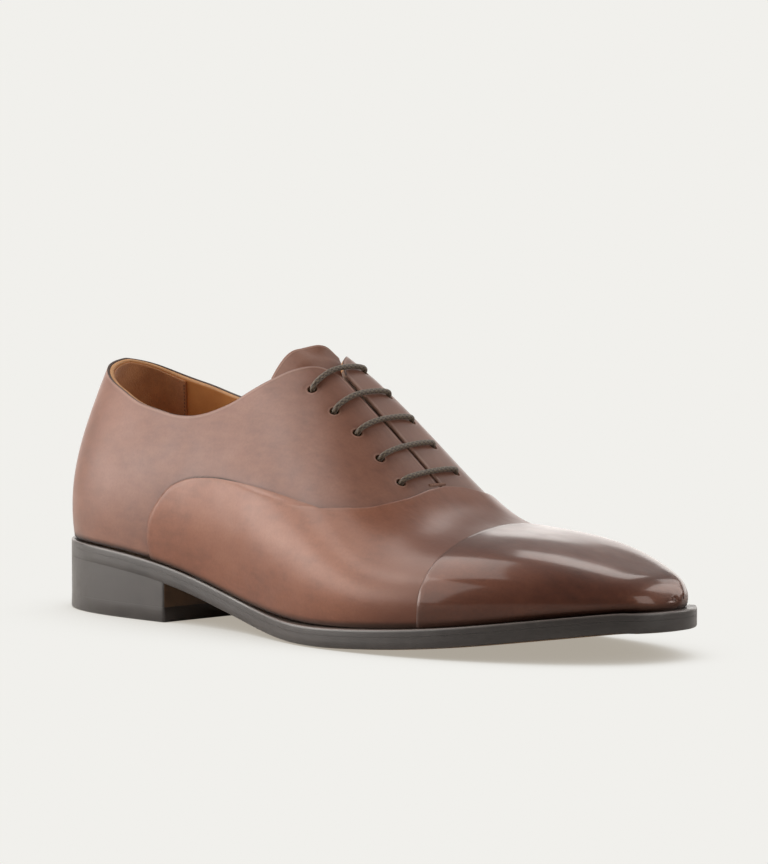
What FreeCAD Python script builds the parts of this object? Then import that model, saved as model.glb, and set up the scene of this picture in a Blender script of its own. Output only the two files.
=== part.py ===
import FreeCAD, Part
import math
import os

# A leather oxford shoe for the right foot, in millimetres.  +X points to the toe, +Y to the inner
# (medial) side, +Z up.  The shoe is drawn with x = 0 at the back of the heel, and every part is
# shifted to the middle of the whole shoe's box before it is saved.
#
# The outer surface of the quarters is one smooth cubic surface over (u, v): u runs from the back
# seam (0) to the toe (1), and v from the lateral feather edge (0) over the ridge to the medial
# feather edge (1).  Every piece of the upper is a patch of that surface, moved along its normal.

V = FreeCAD.Vector

# ---- driving dimensions ------------------------------------------------------------------------
LEATHER = 1.05                # thickness of the outer leathers
LINING = 0.9                  # thickness of the lining leathers
COUNTER = 0.8                 # stiffener between quarter and lining at the heel
STAY = 0.5                    # tape between them along the eyelets
GRIP = 0.7                    # suede at the heel, inside the lining
PUFF_DEPTH = 0.7              # the toe puff and the vamp's cotton backing reach this far in
TONGUE_THICK = 1.3
TONGUE_LINING = 0.8
PLY_GAP = 0.07                # air between two plies
GRIP_GAP = 0.15
SEAM_GAP = 0.14               # and where one outer leather laps over another
WELT_THICK = 2.7
OUTSOLE_THICK = 4.9
WELT_LIP_FORE = 5.9           # how far the welt stands out past the feather edge
WELT_LIP_TOE = 0.9            # and so much more at the toe, where the cap is two plies thick
WELT_LIP_REAR = 1.6
INSOLE_THICK = 2.8
SOCK_THICK = 0.8
HEEL_BREAST_X = 82.0
TOP_PIECE_THICK = 6.0
HEEL_LIFT_THICK = 3.5
RAND_X = 72.0                 # the heel rand ends here and the welt begins
SHANK = (58.0, 178.0, 14.0, 1.2)   # x from, x to, width, thickness
RIB_WIDTH = 1.6
NAIL_R = 0.8
NAIL_LENGTH = 9.0
NAIL_START = 2.5              # height of the nails' lower ends
NAIL_PLACES = 7
NAIL_RING = (38.0, 26.0, 21.0)     # the horseshoe's middle x, and its half length and width
FLEX_X = 207.0                # the ball, where the sole and the vamp bend
FLEX_GAP = 0.15               # half the slit between the rear and the forepart bottom pieces
EYELET_COUNT = 5
EYELET_HOLE_R = 1.9
EYELET_BARREL_R = 1.95
EYELET_BORE_R = 1.6
EYELET_FLANGE_R = 3.0
EYELET_FLANGE_THICK = 0.25
EYELET_PLAY = 0.32            # clearance of the flange under the lining
EYELET_HOLE_PLAY = 0.2        # and of the barrel in the plies
LACE_R = 1.05
LACE_OUT = 1.5                # height of the lace's middle over the facings
LACE_IN = -4.7                # and under them
AGLET_LENGTH = 14.0
CENTRE_X = 153.39             # distance from the heel's back to the middle of the box
CENTRE_Y = -3.42

# Sections of the upper.  Each row is: x, height of the feather edge, lateral half widths (feather,
# low, middle, shoulder), medial half widths, sideways place and height of the ridge, and the
# heights of the low and the middle point as fractions of the section.
SECTIONS = [
    (0, 28.5, 0, 0, 0, 0, 0, 0, 0, 0, 0, 120, 0.25, 0.62),
    (0, 28.5, 15.5, 20.5, 13.5, 9, 20, 21, 17, 9, 0, 120, 0.25, 0.62),
    (16, 28, 31, 36.5, 26, 14, 31, 35, 28, 14, 0, 117, 0.23, 0.60),
    (50, 27, 37.5, 40, 30.5, 15, 33, 38, 30, 15, 0, 119.5, 0.25, 0.62),
    (90, 22, 37, 41, 34, 15, 29, 38, 33, 15, 0, 121.5, 0.25, 0.62),
    (130, 11, 39, 46, 38, 15, 30, 42, 36, 15, 1.5, 111, 0.28, 0.64),
    (170, 7, 50.5, 54, 45, 18, 40, 50, 40, 18, 2.5, 79.5, 0.30, 0.70),
    (205, 8.5, 51.7, 55.2, 49.2, 23.5, 45.2, 51.2, 43.7, 21.5, 5, 42, 0.30, 0.75),
    (240, 11, 47, 50, 45, 23, 43, 47, 41, 21, 7, 41.2, 0.30, 0.80),
    (268, 14.7, 34.5, 37.5, 33.7, 17, 37, 40, 35.2, 17, 8.5, 37, 0.30, 0.80),
    (291, 17.8, 19, 21, 19, 11, 25, 28.3, 25, 11.5, 8.5, 29.5, 0.30, 0.80),
    (301.5, 19, 5, 6.5, 6, 3.5, 16.5, 18.5, 16.5, 5, 8.8, 26.5, 0.30, 0.80),
    (301.5, 18.5, -8, -8, -8, -8, 8, 8, 8, 8, 8, 18.5, 0.30, 0.80),
]
BACK_LEAN = 14.0              # how far the back of the topline leans forward
BACK_BULGE = 0.5
BACK_FADE_X = 110.0

# Seams, as (parameter, u, v) for the lateral side.  The medial side has 1 - v.
TOPLINE = [
    (0.00, 0.000, 0.247), (0.13, 0.055, 0.235), (0.32, 0.139, 0.208), (0.46, 0.199, 0.183),
    (0.56, 0.244, 0.173), (0.64, 0.280, 0.170), (0.70, 0.310, 0.177), (0.76, 0.338, 0.195),
    (0.80, 0.360, 0.220), (0.86, 0.390, 0.280), (0.91, 0.408, 0.338), (0.95, 0.422, 0.398),
    (1.00, 0.438, 0.443),
]
QUARTER_LOWER_EDGE = [
    (0.00, 0.000, 0.000), (0.14, 0.060, 0.000), (0.28, 0.120, 0.000), (0.42, 0.180, 0.000),
    (0.55, 0.235, 0.000), (0.61, 0.272, 0.012), (0.66, 0.302, 0.048), (0.71, 0.345, 0.080),
    (0.76, 0.400, 0.093), (0.81, 0.455, 0.105), (0.855, 0.500, 0.130), (0.90, 0.540, 0.165),
    (0.94, 0.573, 0.230), (0.97, 0.590, 0.330), (1.00, 0.594, 0.486),
]
LINING_LOWER_EDGE = [
    (0.00, 0.000, 0.004), (0.20, 0.085, 0.004), (0.40, 0.170, 0.004), (0.56, 0.240, 0.004),
    (0.66, 0.310, 0.004), (0.72, 0.370, 0.028), (0.77, 0.420, 0.060), (0.82, 0.470, 0.085),
    (0.87, 0.515, 0.115), (0.91, 0.552, 0.155), (0.95, 0.582, 0.225), (0.98, 0.596, 0.340),
    (1.00, 0.600, 0.486),
]
FACING_EDGE = [
    (0.00, 0.594, 0.486), (0.22, 0.558, 0.488), (0.33, 0.541, 0.486), (0.50, 0.514, 0.472),
    (0.66, 0.490, 0.458), (0.82, 0.465, 0.447), (1.00, 0.438, 0.443),
]
FACING_GAP_TOP = 0.036        # width of the slit between the two facings, in v
FACING_GAP_THROAT = 0.011
GALOSH_SEAM = [
    (0.0000, 0.259, 0.000), (0.0245, 0.255, 0.020), (0.0490, 0.260, 0.043),
    (0.0695, 0.271, 0.060), (0.0950, 0.289, 0.080), (0.1250, 0.315, 0.095),
    (0.1580, 0.345, 0.105), (0.1920, 0.376, 0.113), (0.2450, 0.424, 0.120),
    (0.2790, 0.455, 0.128), (0.3100, 0.484, 0.140), (0.3410, 0.514, 0.165),
    (0.3640, 0.535, 0.195), (0.3940, 0.559, 0.247), (0.4345, 0.571, 0.338),
    (0.4730, 0.568, 0.435), (0.5000, 0.566, 0.500),
]
BACKING_REAR_EDGE = [
    (0.00, 0.335, 0.000), (0.06, 0.340, 0.030), (0.14, 0.380, 0.065), (0.22, 0.440, 0.078),
    (0.30, 0.500, 0.103), (0.36, 0.545, 0.145), (0.41, 0.582, 0.215), (0.455, 0.603, 0.330),
    (0.50, 0.607, 0.500),
]
CAP_SEAM = [                  # (v, u, unused)
    (0.000, 0.676, 0), (0.037, 0.679, 0), (0.100, 0.681, 0), (0.168, 0.682, 0), (0.228, 0.680, 0),
    (0.310, 0.672, 0), (0.408, 0.660, 0), (0.515, 0.650, 0), (0.615, 0.655, 0), (0.700, 0.665, 0),
    (0.800, 0.675, 0), (0.900, 0.680, 0), (1.000, 0.678, 0),
]
SEAM_SPREAD = [               # (galosh parameter, cap seam v, unused)
    (0.000, 0.000, 0), (0.043, 0.037, 0), (0.103, 0.100, 0), (0.163, 0.168, 0),
    (0.222, 0.228, 0), (0.309, 0.310, 0), (0.410, 0.408, 0), (0.500, 0.500, 0),
]
VAMP_UNDER_CAP_U = 0.026      # overlap of the vamp below the cap
TOE_PUFF_U = 0.034            # the puff starts this far ahead of the cap seam
EYELETS = [                   # (u, v) of the lateral holes, from the top down
    (0.434, 0.323), (0.465, 0.328), (0.494, 0.343), (0.524, 0.355), (0.552, 0.365),
]
EYELETS_MEDIAL = [
    (0.430, 0.612), (0.461, 0.614), (0.490, 0.617), (0.517, 0.620), (0.546, 0.624),
]


# ---- the surface -------------------------------------------------------------------------------
def smooth(t):
    t = min(1.0, max(0.0, t))
    return t * t * (3.0 - 2.0 * t)


def control_rows():
    rows = []
    for x, zf, a0, a1, a2, a3, b0, b1, b2, b3, yr, zr, k1, k2 in SECTIONS:
        heights = [0, k1, k2, 1, 1, 1, k2, k1, 0]
        widths = [-a0, -a1, -a2, -a3 + yr, yr, b3 + yr, b2, b1, b0]
        rows.append([V(x, y, zf + (zr - zf) * h) for y, h in zip(widths, heights)])
    return rows


def clamped_knots(count, degree=3):
    inner = count - degree
    knots = [i / inner for i in range(inner + 1)]
    mults = [degree + 1] + [1] * (inner - 1) + [degree + 1]
    return knots, mults


def last_surface():
    rows = control_rows()
    u_knots, u_mults = clamped_knots(len(rows))
    v_knots, v_mults = clamped_knots(len(rows[0]))
    surface = Part.BSplineSurface()
    surface.buildFromPolesMultsKnots(rows, u_mults, v_mults, u_knots, v_knots, False, False, 3, 3)
    return surface


SURFACE = last_surface()
FEATHER_V = 0.002             # every ply ends this far above the feather edge
BACK_SEAM_U = 0.0004          # and each quarter this far from the back seam
WELT_PLAY = 0.08              # no ply comes nearer than this to the welt's top
THROAT_CROWDING = 1.7         # draws the columns of a quarter together where it turns at the throat


def leaned(p):
    rise = min(1.6, max(0.0, (p.z - 28.0) / 70.0))
    bulge = BACK_BULGE * math.sin(math.pi * min(1.0, rise) ** 0.8)
    return V(p.x + (bulge + BACK_LEAN * rise * rise) * smooth(1.0 - p.x / BACK_FADE_X), p.y, p.z)


def point(u, v):
    return leaned(SURFACE.value(min(1.0, max(0.0, u)), min(1.0, max(0.0, v))))


def normal(u, v):
    if u > 0.9985:
        return V(1, 0, 0)
    v = min(1.0, max(0.0, v))
    step = 0.0008
    ahead = point(u + step, v) - point(max(0.0, u - step), v)
    across = point(u, min(1.0, v + step)) - point(u, max(0.0, v - step))
    n = ahead.cross(across)
    n.normalize()
    return n


FEATHER_LINE = [point(i / 200, 0.0) for i in range(201)]


def feather_height(x):
    """Height of the feather edge over x, carried on level past both ends."""
    k = 0
    while k < len(FEATHER_LINE) - 2 and FEATHER_LINE[k + 1].x < x:
        k += 1
    a, b = FEATHER_LINE[k], FEATHER_LINE[k + 1]
    f = min(1.0, max(0.0, (x - a.x) / max(1e-6, b.x - a.x)))
    return a.z + f * (b.z - a.z)


def at(u, v, offset):
    """A place on the surface moved out by the offset, never lower than the welt."""
    v = min(1.0 - FEATHER_V, max(FEATHER_V, v))
    p = point(u, v) + normal(u, v) * offset
    return V(p.x, p.y, max(p.z, feather_height(p.x) + WELT_PLAY))


def along(stations, t):
    """Smooth curve through (parameter, a, b) stations."""
    t = min(stations[-1][0], max(stations[0][0], t))
    k = 0
    while k < len(stations) - 2 and stations[k + 1][0] < t:
        k += 1
    slopes = []
    for i in (k, k + 1):
        lo = stations[max(0, i - 1)]
        hi = stations[min(len(stations) - 1, i + 1)]
        slopes.append([(hi[c] - lo[c]) / (hi[0] - lo[0]) for c in (1, 2)])
    p, q = stations[k], stations[k + 1]
    h = q[0] - p[0]
    s = (t - p[0]) / h
    result = []
    for c in (1, 2):
        a, b = p[c], q[c]
        m0, m1 = slopes[0][c - 1] * h, slopes[1][c - 1] * h
        value = (2 * s ** 3 - 3 * s * s + 1) * a + (s ** 3 - 2 * s * s + s) * m0
        value += (3 * s * s - 2 * s ** 3) * b + (s ** 3 - s * s) * m1
        result.append(value)
    return result


def mirrored(uv):
    return uv[0], 1.0 - uv[1]


def both_sides(stations, t):
    """A curve given for the lateral half (0 .. 0.5), carried on to the medial half."""
    if t <= 0.5:
        return along(stations, t)
    return mirrored(along(stations, 1.0 - t))


def cap_seam_u(v):
    return along(CAP_SEAM, v)[0]


def front_v(t):
    if t <= 0.5:
        return along(SEAM_SPREAD, t)[0]
    return 1.0 - along(SEAM_SPREAD, 1.0 - t)[0]


# ---- patches: functions from the unit square to (u, v) -------------------------------------------
def coons(lower, upper, left, right):
    corners = [lower(0), lower(1), upper(0), upper(1)]

    def patch(s, t):
        result = []
        for c in (0, 1):
            ruled = (1 - t) * lower(s)[c] + t * upper(s)[c] + (1 - s) * left(t)[c] + s * right(t)[c]
            flat = (1 - s) * (1 - t) * corners[0][c] + s * (1 - t) * corners[1][c]
            flat += (1 - s) * t * corners[2][c] + s * t * corners[3][c]
            result.append(ruled - flat)
        return result
    return patch


def ruled(first, second):
    def patch(s, t):
        a, b = first(s), second(s)
        return [(1 - t) * a[0] + t * b[0], (1 - t) * a[1] + t * b[1]]
    return patch


def facing_gap(u):
    """Width of the slit between the facings, which closes towards the throat."""
    rise = min(1.0, max(0.0, (0.594 - u) / 0.156))
    return FACING_GAP_THROAT + (FACING_GAP_TOP - FACING_GAP_THROAT) * rise


def facing_edge_v(u):
    """The lateral facing's edge beside the slit."""
    return along(FACING_EDGE, (0.594 - u) / 0.156)[1]


def quarter_patch(lower_edge):
    start = along(lower_edge, 0)[1]

    def lower(s):
        u, v = along(lower_edge, s)
        return [max(BACK_SEAM_U, u), v]

    def upper(s):
        u, v = along(TOPLINE, s)
        return [max(BACK_SEAM_U, u), v]

    def left(t):
        return [BACK_SEAM_U, start + t * (upper(0)[1] - start)]

    def right(t):
        end = lower(1)
        top = upper(1)
        u, v = along(FACING_EDGE, t)
        base = FACING_EDGE[0]
        tip = FACING_EDGE[-1]
        du = (1 - t) * (end[0] - base[1]) + t * (top[0] - tip[1])
        dv = (1 - t) * (end[1] - base[2]) + t * (top[1] - tip[2])
        return [u + du, v + dv]
    whole = coons(lower, upper, left, right)
    return lambda s, t: whole(1.0 - (1.0 - s) ** THROAT_CROWDING, t)


def medial_quarter_patch(lower_edge):
    """Mirror of the lateral quarter, whose facing edge follows the lateral one past the slit."""
    base = quarter_patch(lower_edge)

    def patch(s, t):
        u, v = base(s, t)
        edge_v = facing_edge_v(u)
        reach = smooth(v / edge_v) * smooth((u - 0.33) / 0.10)
        return [u, 1.0 - v - reach * (1.0 - 2.0 * edge_v - facing_gap(u))]
    return patch


def vamp_patch(rear_edge, front_overlap):
    def front(s):
        v = front_v(s)
        return [cap_seam_u(v) + front_overlap, v]
    return ruled(lambda s: both_sides(rear_edge, s), front)


def toe_patch(seam_shift):
    """A square laid on the half disk whose straight side is the feather edge round the toe."""
    def patch(s, t):
        x = 1.0 - 2.0 * s
        a = x * math.sqrt(1.0 - 0.5 * t * t)
        b = t * math.sqrt(1.0 - 0.5 * x * x)
        radius = min(1.0, math.hypot(a, b))
        v = math.atan2(b, a) / math.pi if radius > 1e-9 else 0.5
        return [1.0 - radius * (1.0 - cap_seam_u(v) - seam_shift), v]
    return patch


def heel_patch(reach_u, top_drop, bottom_v=0.004):
    """A piece that wraps round the back of the heel, below the topline."""
    def patch(s, t):
        side = 2.0 * s - 1.0
        u = abs(side) * reach_u
        top = along(TOPLINE, min(1.0, u / 0.43))[1] - top_drop - 0.02 * smooth(abs(side))
        v = bottom_v + t * (top - bottom_v)
        return [u, v] if side < 0 else [u, 1.0 - v]
    return patch


# ---- solids ------------------------------------------------------------------------------------
def sheet_surface(patch, offset, columns, rows):
    grid = []
    for i in range(columns + 1):
        line = []
        for j in range(rows + 1):
            u, v = patch(i / columns, j / rows)
            line.append(at(u, v, offset(u, v) if callable(offset) else offset))
        grid.append(line)
    surface = Part.BSplineSurface()
    surface.interpolate(grid)
    return surface


def skin(patch, inner, outer, columns=28, rows=14):
    """Closed solid between two offsets of a patch."""
    top = sheet_surface(patch, outer, columns, rows)
    bottom = sheet_surface(patch, inner, columns, rows)
    faces = [top.toShape(), bottom.toShape()]
    u0, u1, v0, v1 = top.bounds()
    p0, p1, q0, q1 = bottom.bounds()
    for a, b in ((u0, p0), (u1, p1)):
        faces.append(Part.makeRuledSurface(top.uIso(a).toShape(), bottom.uIso(b).toShape()))
    for a, b in ((v0, q0), (v1, q1)):
        faces.append(Part.makeRuledSurface(top.vIso(a).toShape(), bottom.vIso(b).toShape()))
    shell = Part.makeShell(faces)
    shell.sewShape()
    solid = Part.makeSolid(Part.makeShell(shell.Faces))
    if solid.Volume < 0:
        solid.reverse()
    return solid


def drill(solid, holes, radius):
    """Round holes through a ply, each along the surface normal."""
    pins = [eyelet_pin(u, v, radius, -6.0, 4.0) for u, v in holes]
    return solid.cut(Part.makeCompound(pins))


def eyelet_pin(u, v, radius, low, high):
    axis = normal(u, v)
    return Part.makeCylinder(radius, high - low, point(u, v) + axis * low, axis)


# ---- bottom pieces -------------------------------------------------------------------------------
def lip(x):
    fore = (WELT_LIP_FORE - WELT_LIP_REAR) * smooth((x - 120.0) / 70.0)
    return WELT_LIP_REAR + fore + WELT_LIP_TOE * smooth((x - 230.0) / 50.0)


def feather_outline():
    """Plan points round the feather edge: lateral from heel to toe, then medial back."""
    steps = [smooth(i / 36) * 0.6 + 0.4 * i / 36 for i in range(37)]
    lateral = [point(max(0.0025, min(0.9975, u)), 0.0) for u in steps]
    inner = [point(max(0.0025, min(0.9975, u)), 1.0) for u in reversed(steps)]
    return [V(p.x, p.y, 0) for p in lateral + inner]


def offset_outline(amount):
    """The outline moved outwards by a number or by a function of x, as one closed curve."""
    pts = feather_outline()
    count = len(pts)
    moved = []
    for i, p in enumerate(pts):
        tangent = pts[(i + 1) % count] - pts[i - 1]
        out = V(tangent.y, -tangent.x, 0)
        out.normalize()
        grow = amount(p.x) if callable(amount) else amount
        moved.append(p + out * grow)
    curve = Part.BSplineCurve()
    curve.interpolate(Points=moved, PeriodicFlag=True)
    return Part.Face(Part.Wire([curve.toShape()]))


def outline_prism(amount, low=-5.0, high=60.0):
    face = offset_outline(amount)
    face.translate(V(0, 0, low))
    return face.extrude(V(0, 0, high - low))


def slab(low, high, x0=-12.0, x1=312.0):
    """Everything between two heights over the feather edge's own profile."""
    count = 40
    xs = [x0 + (x1 - x0) * i / count for i in range(count + 1)]
    upper = [V(x, -90, feather_height(x) + high) for x in xs]
    lower = [V(x, -90, feather_height(x) + low) for x in xs]
    edges = []
    for line in (upper, lower):
        curve = Part.BSplineCurve()
        curve.interpolate(Points=line)
        edges.append(curve.toShape())
    edges.append(Part.makeLine(upper[0], lower[0]))
    edges.append(Part.makeLine(upper[-1], lower[-1]))
    face = Part.Face(Part.Wire(Part.__sortEdges__(edges)))
    return face.extrude(V(0, 180, 0))


def box(x0, x1, z0=-5.0, z1=60.0, y0=-90.0, y1=90.0):
    return Part.makeBox(x1 - x0, y1 - y0, z1 - z0, V(x0, y0, z0))


def plate(amount, low, high, inner=None):
    body = outline_prism(amount).common(slab(low, high))
    if inner is not None:
        body = body.cut(outline_prism(inner))
    return body


def split_at_ball(name, body):
    """Rear and forepart halves of a bottom piece that bends at the ball."""
    rear = body.common(box(-20, FLEX_X - FLEX_GAP))
    fore = body.common(box(FLEX_X + FLEX_GAP, 330))
    return {name: rear, name + "_forepart": fore}


# ---- the upper -------------------------------------------------------------------------------------
# Each ply lies between two distances from the surface, inner face first.
def ply_under(outer, thickness, gap=PLY_GAP):
    return outer[0] - gap - thickness, outer[0] - gap


QUARTER = (-LEATHER - 0.1, 0.0)
COUNTER_PLY = ply_under(QUARTER, COUNTER)
STAY_PLY = ply_under(QUARTER, STAY, (COUNTER - STAY) / 2 + PLY_GAP)
LINING_PLY = ply_under(COUNTER_PLY, LINING)
GRIP_PLY = ply_under(LINING_PLY, GRIP, GRIP_GAP)
VAMP = (SEAM_GAP, SEAM_GAP + LEATHER)
CAP = (VAMP[1] + SEAM_GAP, VAMP[1] + SEAM_GAP + LEATHER)
BACKING = (-PUFF_DEPTH, -0.1)
FRONT_LINING = ply_under(BACKING, LINING, SEAM_GAP)


def tongue_drop(u, v):
    """Depth of the tongue's outer face: under the lace in the middle, rising at both ends.

    Its top stands up towards the medial side."""
    lifted = 2.5 * smooth((0.428 - u) / 0.03) + 2.0 * smooth((u - 0.572) / 0.03)
    return -6.15 + lifted + 3.5 * smooth((0.401 - u) / 0.016) * smooth((v - 0.46) / 0.13)


def quarters():
    lateral = skin(quarter_patch(QUARTER_LOWER_EDGE), *QUARTER, columns=46, rows=20)
    inner = skin(medial_quarter_patch(QUARTER_LOWER_EDGE), *QUARTER, columns=46, rows=20)
    return {
        "quarter_lateral": drill(lateral, EYELETS, EYELET_HOLE_R),
        "quarter_medial": drill(inner, EYELETS_MEDIAL, EYELET_HOLE_R),
    }


def facing_stays():
    """Stiff strips under the eyelet rows, from the topline down to the throat."""
    def lateral(s, t):
        start = 0.418 + 0.027 * t
        u = start + (0.555 - start) * s
        return [u, facing_edge_v(u) - 0.006 - (0.185 - 0.03 * s) * (1 - t)]

    def inner(s, t):
        start = 0.418 + 0.027 * t
        u = start + (0.549 - start) * s
        edge = facing_edge_v(u) + facing_gap(u)
        return [u, edge + 0.006 + (0.215 - 0.03 * s) * (1 - t)]
    hole = EYELET_BARREL_R + EYELET_HOLE_PLAY
    return {
        "facing_stay_lateral": drill(skin(lateral, *STAY_PLY), EYELETS, hole),
        "facing_stay_medial": drill(skin(inner, *STAY_PLY), EYELETS_MEDIAL, hole),
    }


def rear_linings():
    hole = EYELET_BARREL_R + EYELET_HOLE_PLAY
    lateral = skin(quarter_patch(LINING_LOWER_EDGE), *LINING_PLY, columns=46, rows=20)
    inner = skin(medial_quarter_patch(LINING_LOWER_EDGE), *LINING_PLY, columns=46, rows=20)
    return {
        "quarter_lining_lateral": drill(lateral, EYELETS, hole),
        "quarter_lining_medial": drill(inner, EYELETS_MEDIAL, hole),
        "heel_grip": skin(heel_patch(0.105, 0.006, 0.035), *GRIP_PLY, columns=20, rows=10),
        "heel_counter": skin(heel_patch(0.22, 0.035), *COUNTER_PLY, columns=28, rows=10),
    }


def front_of_upper():
    backing = vamp_patch(BACKING_REAR_EDGE, VAMP_UNDER_CAP_U)
    return {
        "vamp": skin(vamp_patch(GALOSH_SEAM, VAMP_UNDER_CAP_U), *VAMP, columns=48, rows=10),
        "vamp_backing": skin(backing, *BACKING, columns=40, rows=8),
        "vamp_lining": skin(backing, *FRONT_LINING, columns=40, rows=8),
        "toe_cap": skin(toe_patch(0.0), *CAP, columns=28, rows=14),
        "toe_puff": skin(toe_patch(TOE_PUFF_U), BACKING[0], VAMP[1], columns=28, rows=14),
        "toe_lining": skin(toe_patch(TOE_PUFF_U), *FRONT_LINING, columns=28, rows=14),
    }


def tongue():
    def patch(s, t):
        u = 0.384 + 0.212 * s
        half = 0.195 - 0.045 * s + 0.018 * math.sin(math.pi * s)
        corner = 0.03 * smooth((0.10 - s) / 0.10) ** 2
        return [u + 0.012 * smooth(abs(2 * t - 1)) * (1 - s), 0.475 + (2 * t - 1) * (half - corner)]

    def outer(u, v):
        return tongue_drop(u, v)

    def inner(u, v):
        return tongue_drop(u, v) - TONGUE_THICK

    def lining_outer(u, v):
        return inner(u, v) - PLY_GAP

    def lining_inner(u, v):
        return inner(u, v) - PLY_GAP - TONGUE_LINING
    return {
        "tongue": skin(patch, inner, outer, columns=40, rows=18),
        "tongue_lining": skin(patch, lining_inner, lining_outer, columns=40, rows=18),
    }


# ---- eyelets and lace ------------------------------------------------------------------------------
def eyelet(u, v):
    inside = LINING_PLY[0] - EYELET_PLAY
    end = inside - EYELET_FLANGE_THICK
    barrel = eyelet_pin(u, v, EYELET_BARREL_R, end, QUARTER[0] - 0.05)
    flange = eyelet_pin(u, v, EYELET_FLANGE_R, end, inside)
    return barrel.fuse(flange).cut(eyelet_pin(u, v, EYELET_BORE_R, -6, 2))


def eyelets():
    nodes = {}
    for i in range(EYELET_COUNT):
        nodes["eyelet_lateral_%d" % (i + 1)] = eyelet(*EYELETS[i])
        nodes["eyelet_medial_%d" % (i + 1)] = eyelet(*EYELETS_MEDIAL[i])
    return nodes


BAR_STEPS = (0.2, 0.4, 0.6, 0.8)
SHARP_TURN = 1.0              # radians; the lace folds at its own diameter through a hole


def bar(row, to_medial):
    """One straight bar of lace: up through a hole, over the facings, down through the other."""
    a, b = EYELETS[row], EYELETS_MEDIAL[row]
    if not to_medial:
        a, b = b, a
    pts = [(a[0], a[1], LACE_IN), (a[0], a[1], LACE_OUT)]
    for f in BAR_STEPS:
        pts.append((a[0] + f * (b[0] - a[0]), a[1] + f * (b[1] - a[1]), LACE_OUT))
    return pts + [(b[0], b[1], LACE_OUT), (b[0], b[1], LACE_IN)]


def lace_route():
    """(u, v, offset) along the lace, from one hidden end to the other."""
    side_step = 0.027         # a run that passes another hole goes beside it
    tail_a = [
        (0.572, 0.040, -7.0), (0.546, 0.038, -7.0), (0.522, 0.040, -7.0), (0.492, 0.055, -6.6),
        (0.472, 0.092, -6.0), (0.463, 0.140, -5.4), (0.461, 0.195, -5.0), (0.462, 0.255, -4.7),
    ]
    tail_b = [
        (0.427, 0.690, -4.7), (0.425, 0.755, -5.0), (0.425, 0.820, -5.4), (0.428, 0.870, -5.8),
        (0.438, 0.915, -6.4), (0.460, 0.945, -6.8), (0.490, 0.958, -7.0), (0.522, 0.960, -7.0),
        (0.548, 0.962, -7.0), (0.574, 0.960, -7.0),
    ]
    route = tail_a + bar(1, True)
    route += [(0.475, 0.614 - side_step, LACE_IN), (0.500, 0.616 - side_step, LACE_IN)]
    route += bar(3, False) + bar(4, True)
    route += [(0.532, 0.623 + side_step, LACE_IN), (0.504, 0.620 + side_step, LACE_IN)]
    route += bar(2, False)
    route += [(0.480, 0.333 - side_step, LACE_IN), (0.450, 0.326 - side_step, LACE_IN)]
    return route + bar(0, True) + tail_b


def rounded_tube(points, radius):
    """A tube along straight runs joined by tangent arcs, and the length of its middle line."""
    edges = []
    start = points[0]
    smallest = 1e9
    for before, corner, after in zip(points, points[1:], points[2:]):
        a = before - corner
        b = after - corner
        turn = math.pi - a.getAngle(b)
        if turn < 0.02:
            continue
        cut = 0.45 * min(a.Length, b.Length)
        if turn > SHARP_TURN:
            cut = min(cut, 2 * LACE_R * math.tan(turn / 2))
        smallest = min(smallest, cut / math.tan(turn / 2))
        a.normalize()
        b.normalize()
        first = corner + a * cut
        last = corner + b * cut
        centre_dir = a + b
        centre_dir.normalize()
        bend = cut / math.tan(turn / 2)
        middle = corner + centre_dir * (math.hypot(cut, bend) - bend)
        edges.append(Part.LineSegment(start, first).toShape())
        edges.append(Part.Arc(first, middle, last).toShape())
        start = last
    edges.append(Part.LineSegment(start, points[-1]).toShape())
    path = Part.Wire(edges)
    tangent = points[1] - points[0]
    ring = Part.Wire([Part.makeCircle(radius, points[0], tangent)])
    tube = path.makePipeShell([ring], True, False)
    return tube, path.Length, smallest


def lace():
    points = [at(u, v, offset) for u, v, offset in lace_route()]
    tube, length, bend = rounded_tube(points, LACE_R)
    print("lace length %.1f, tightest bend %.2f" % (length, bend))
    print("tube volume %.1f, section times length %.1f" % (tube.Volume, math.pi * LACE_R ** 2 * length))
    nodes = {"lace": tube}
    for name, last, before in (("lace_tip_a", points[0], points[1]), ("lace_tip_b", points[-1], points[-2])):
        direction = last - before
        direction.normalize()
        nodes[name] = Part.makeCylinder(LACE_R + 0.1, AGLET_LENGTH, last, direction)
    print("length with both tips %.1f" % (length + 2 * AGLET_LENGTH))
    return nodes


# ---- the bottom ------------------------------------------------------------------------------------
WELT_TOP = -0.05
WELT_BOTTOM = WELT_TOP - WELT_THICK
OUTSOLE_TOP = WELT_BOTTOM - 0.05
OUTSOLE_BOTTOM = OUTSOLE_TOP - OUTSOLE_THICK
INSOLE_BOTTOM = 0.05
INSOLE_TOP = INSOLE_BOTTOM + INSOLE_THICK
SOCK_BOTTOM = INSOLE_TOP + 0.05
WELT_INNER = -4.2             # the welt reaches this far under the upper


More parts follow.
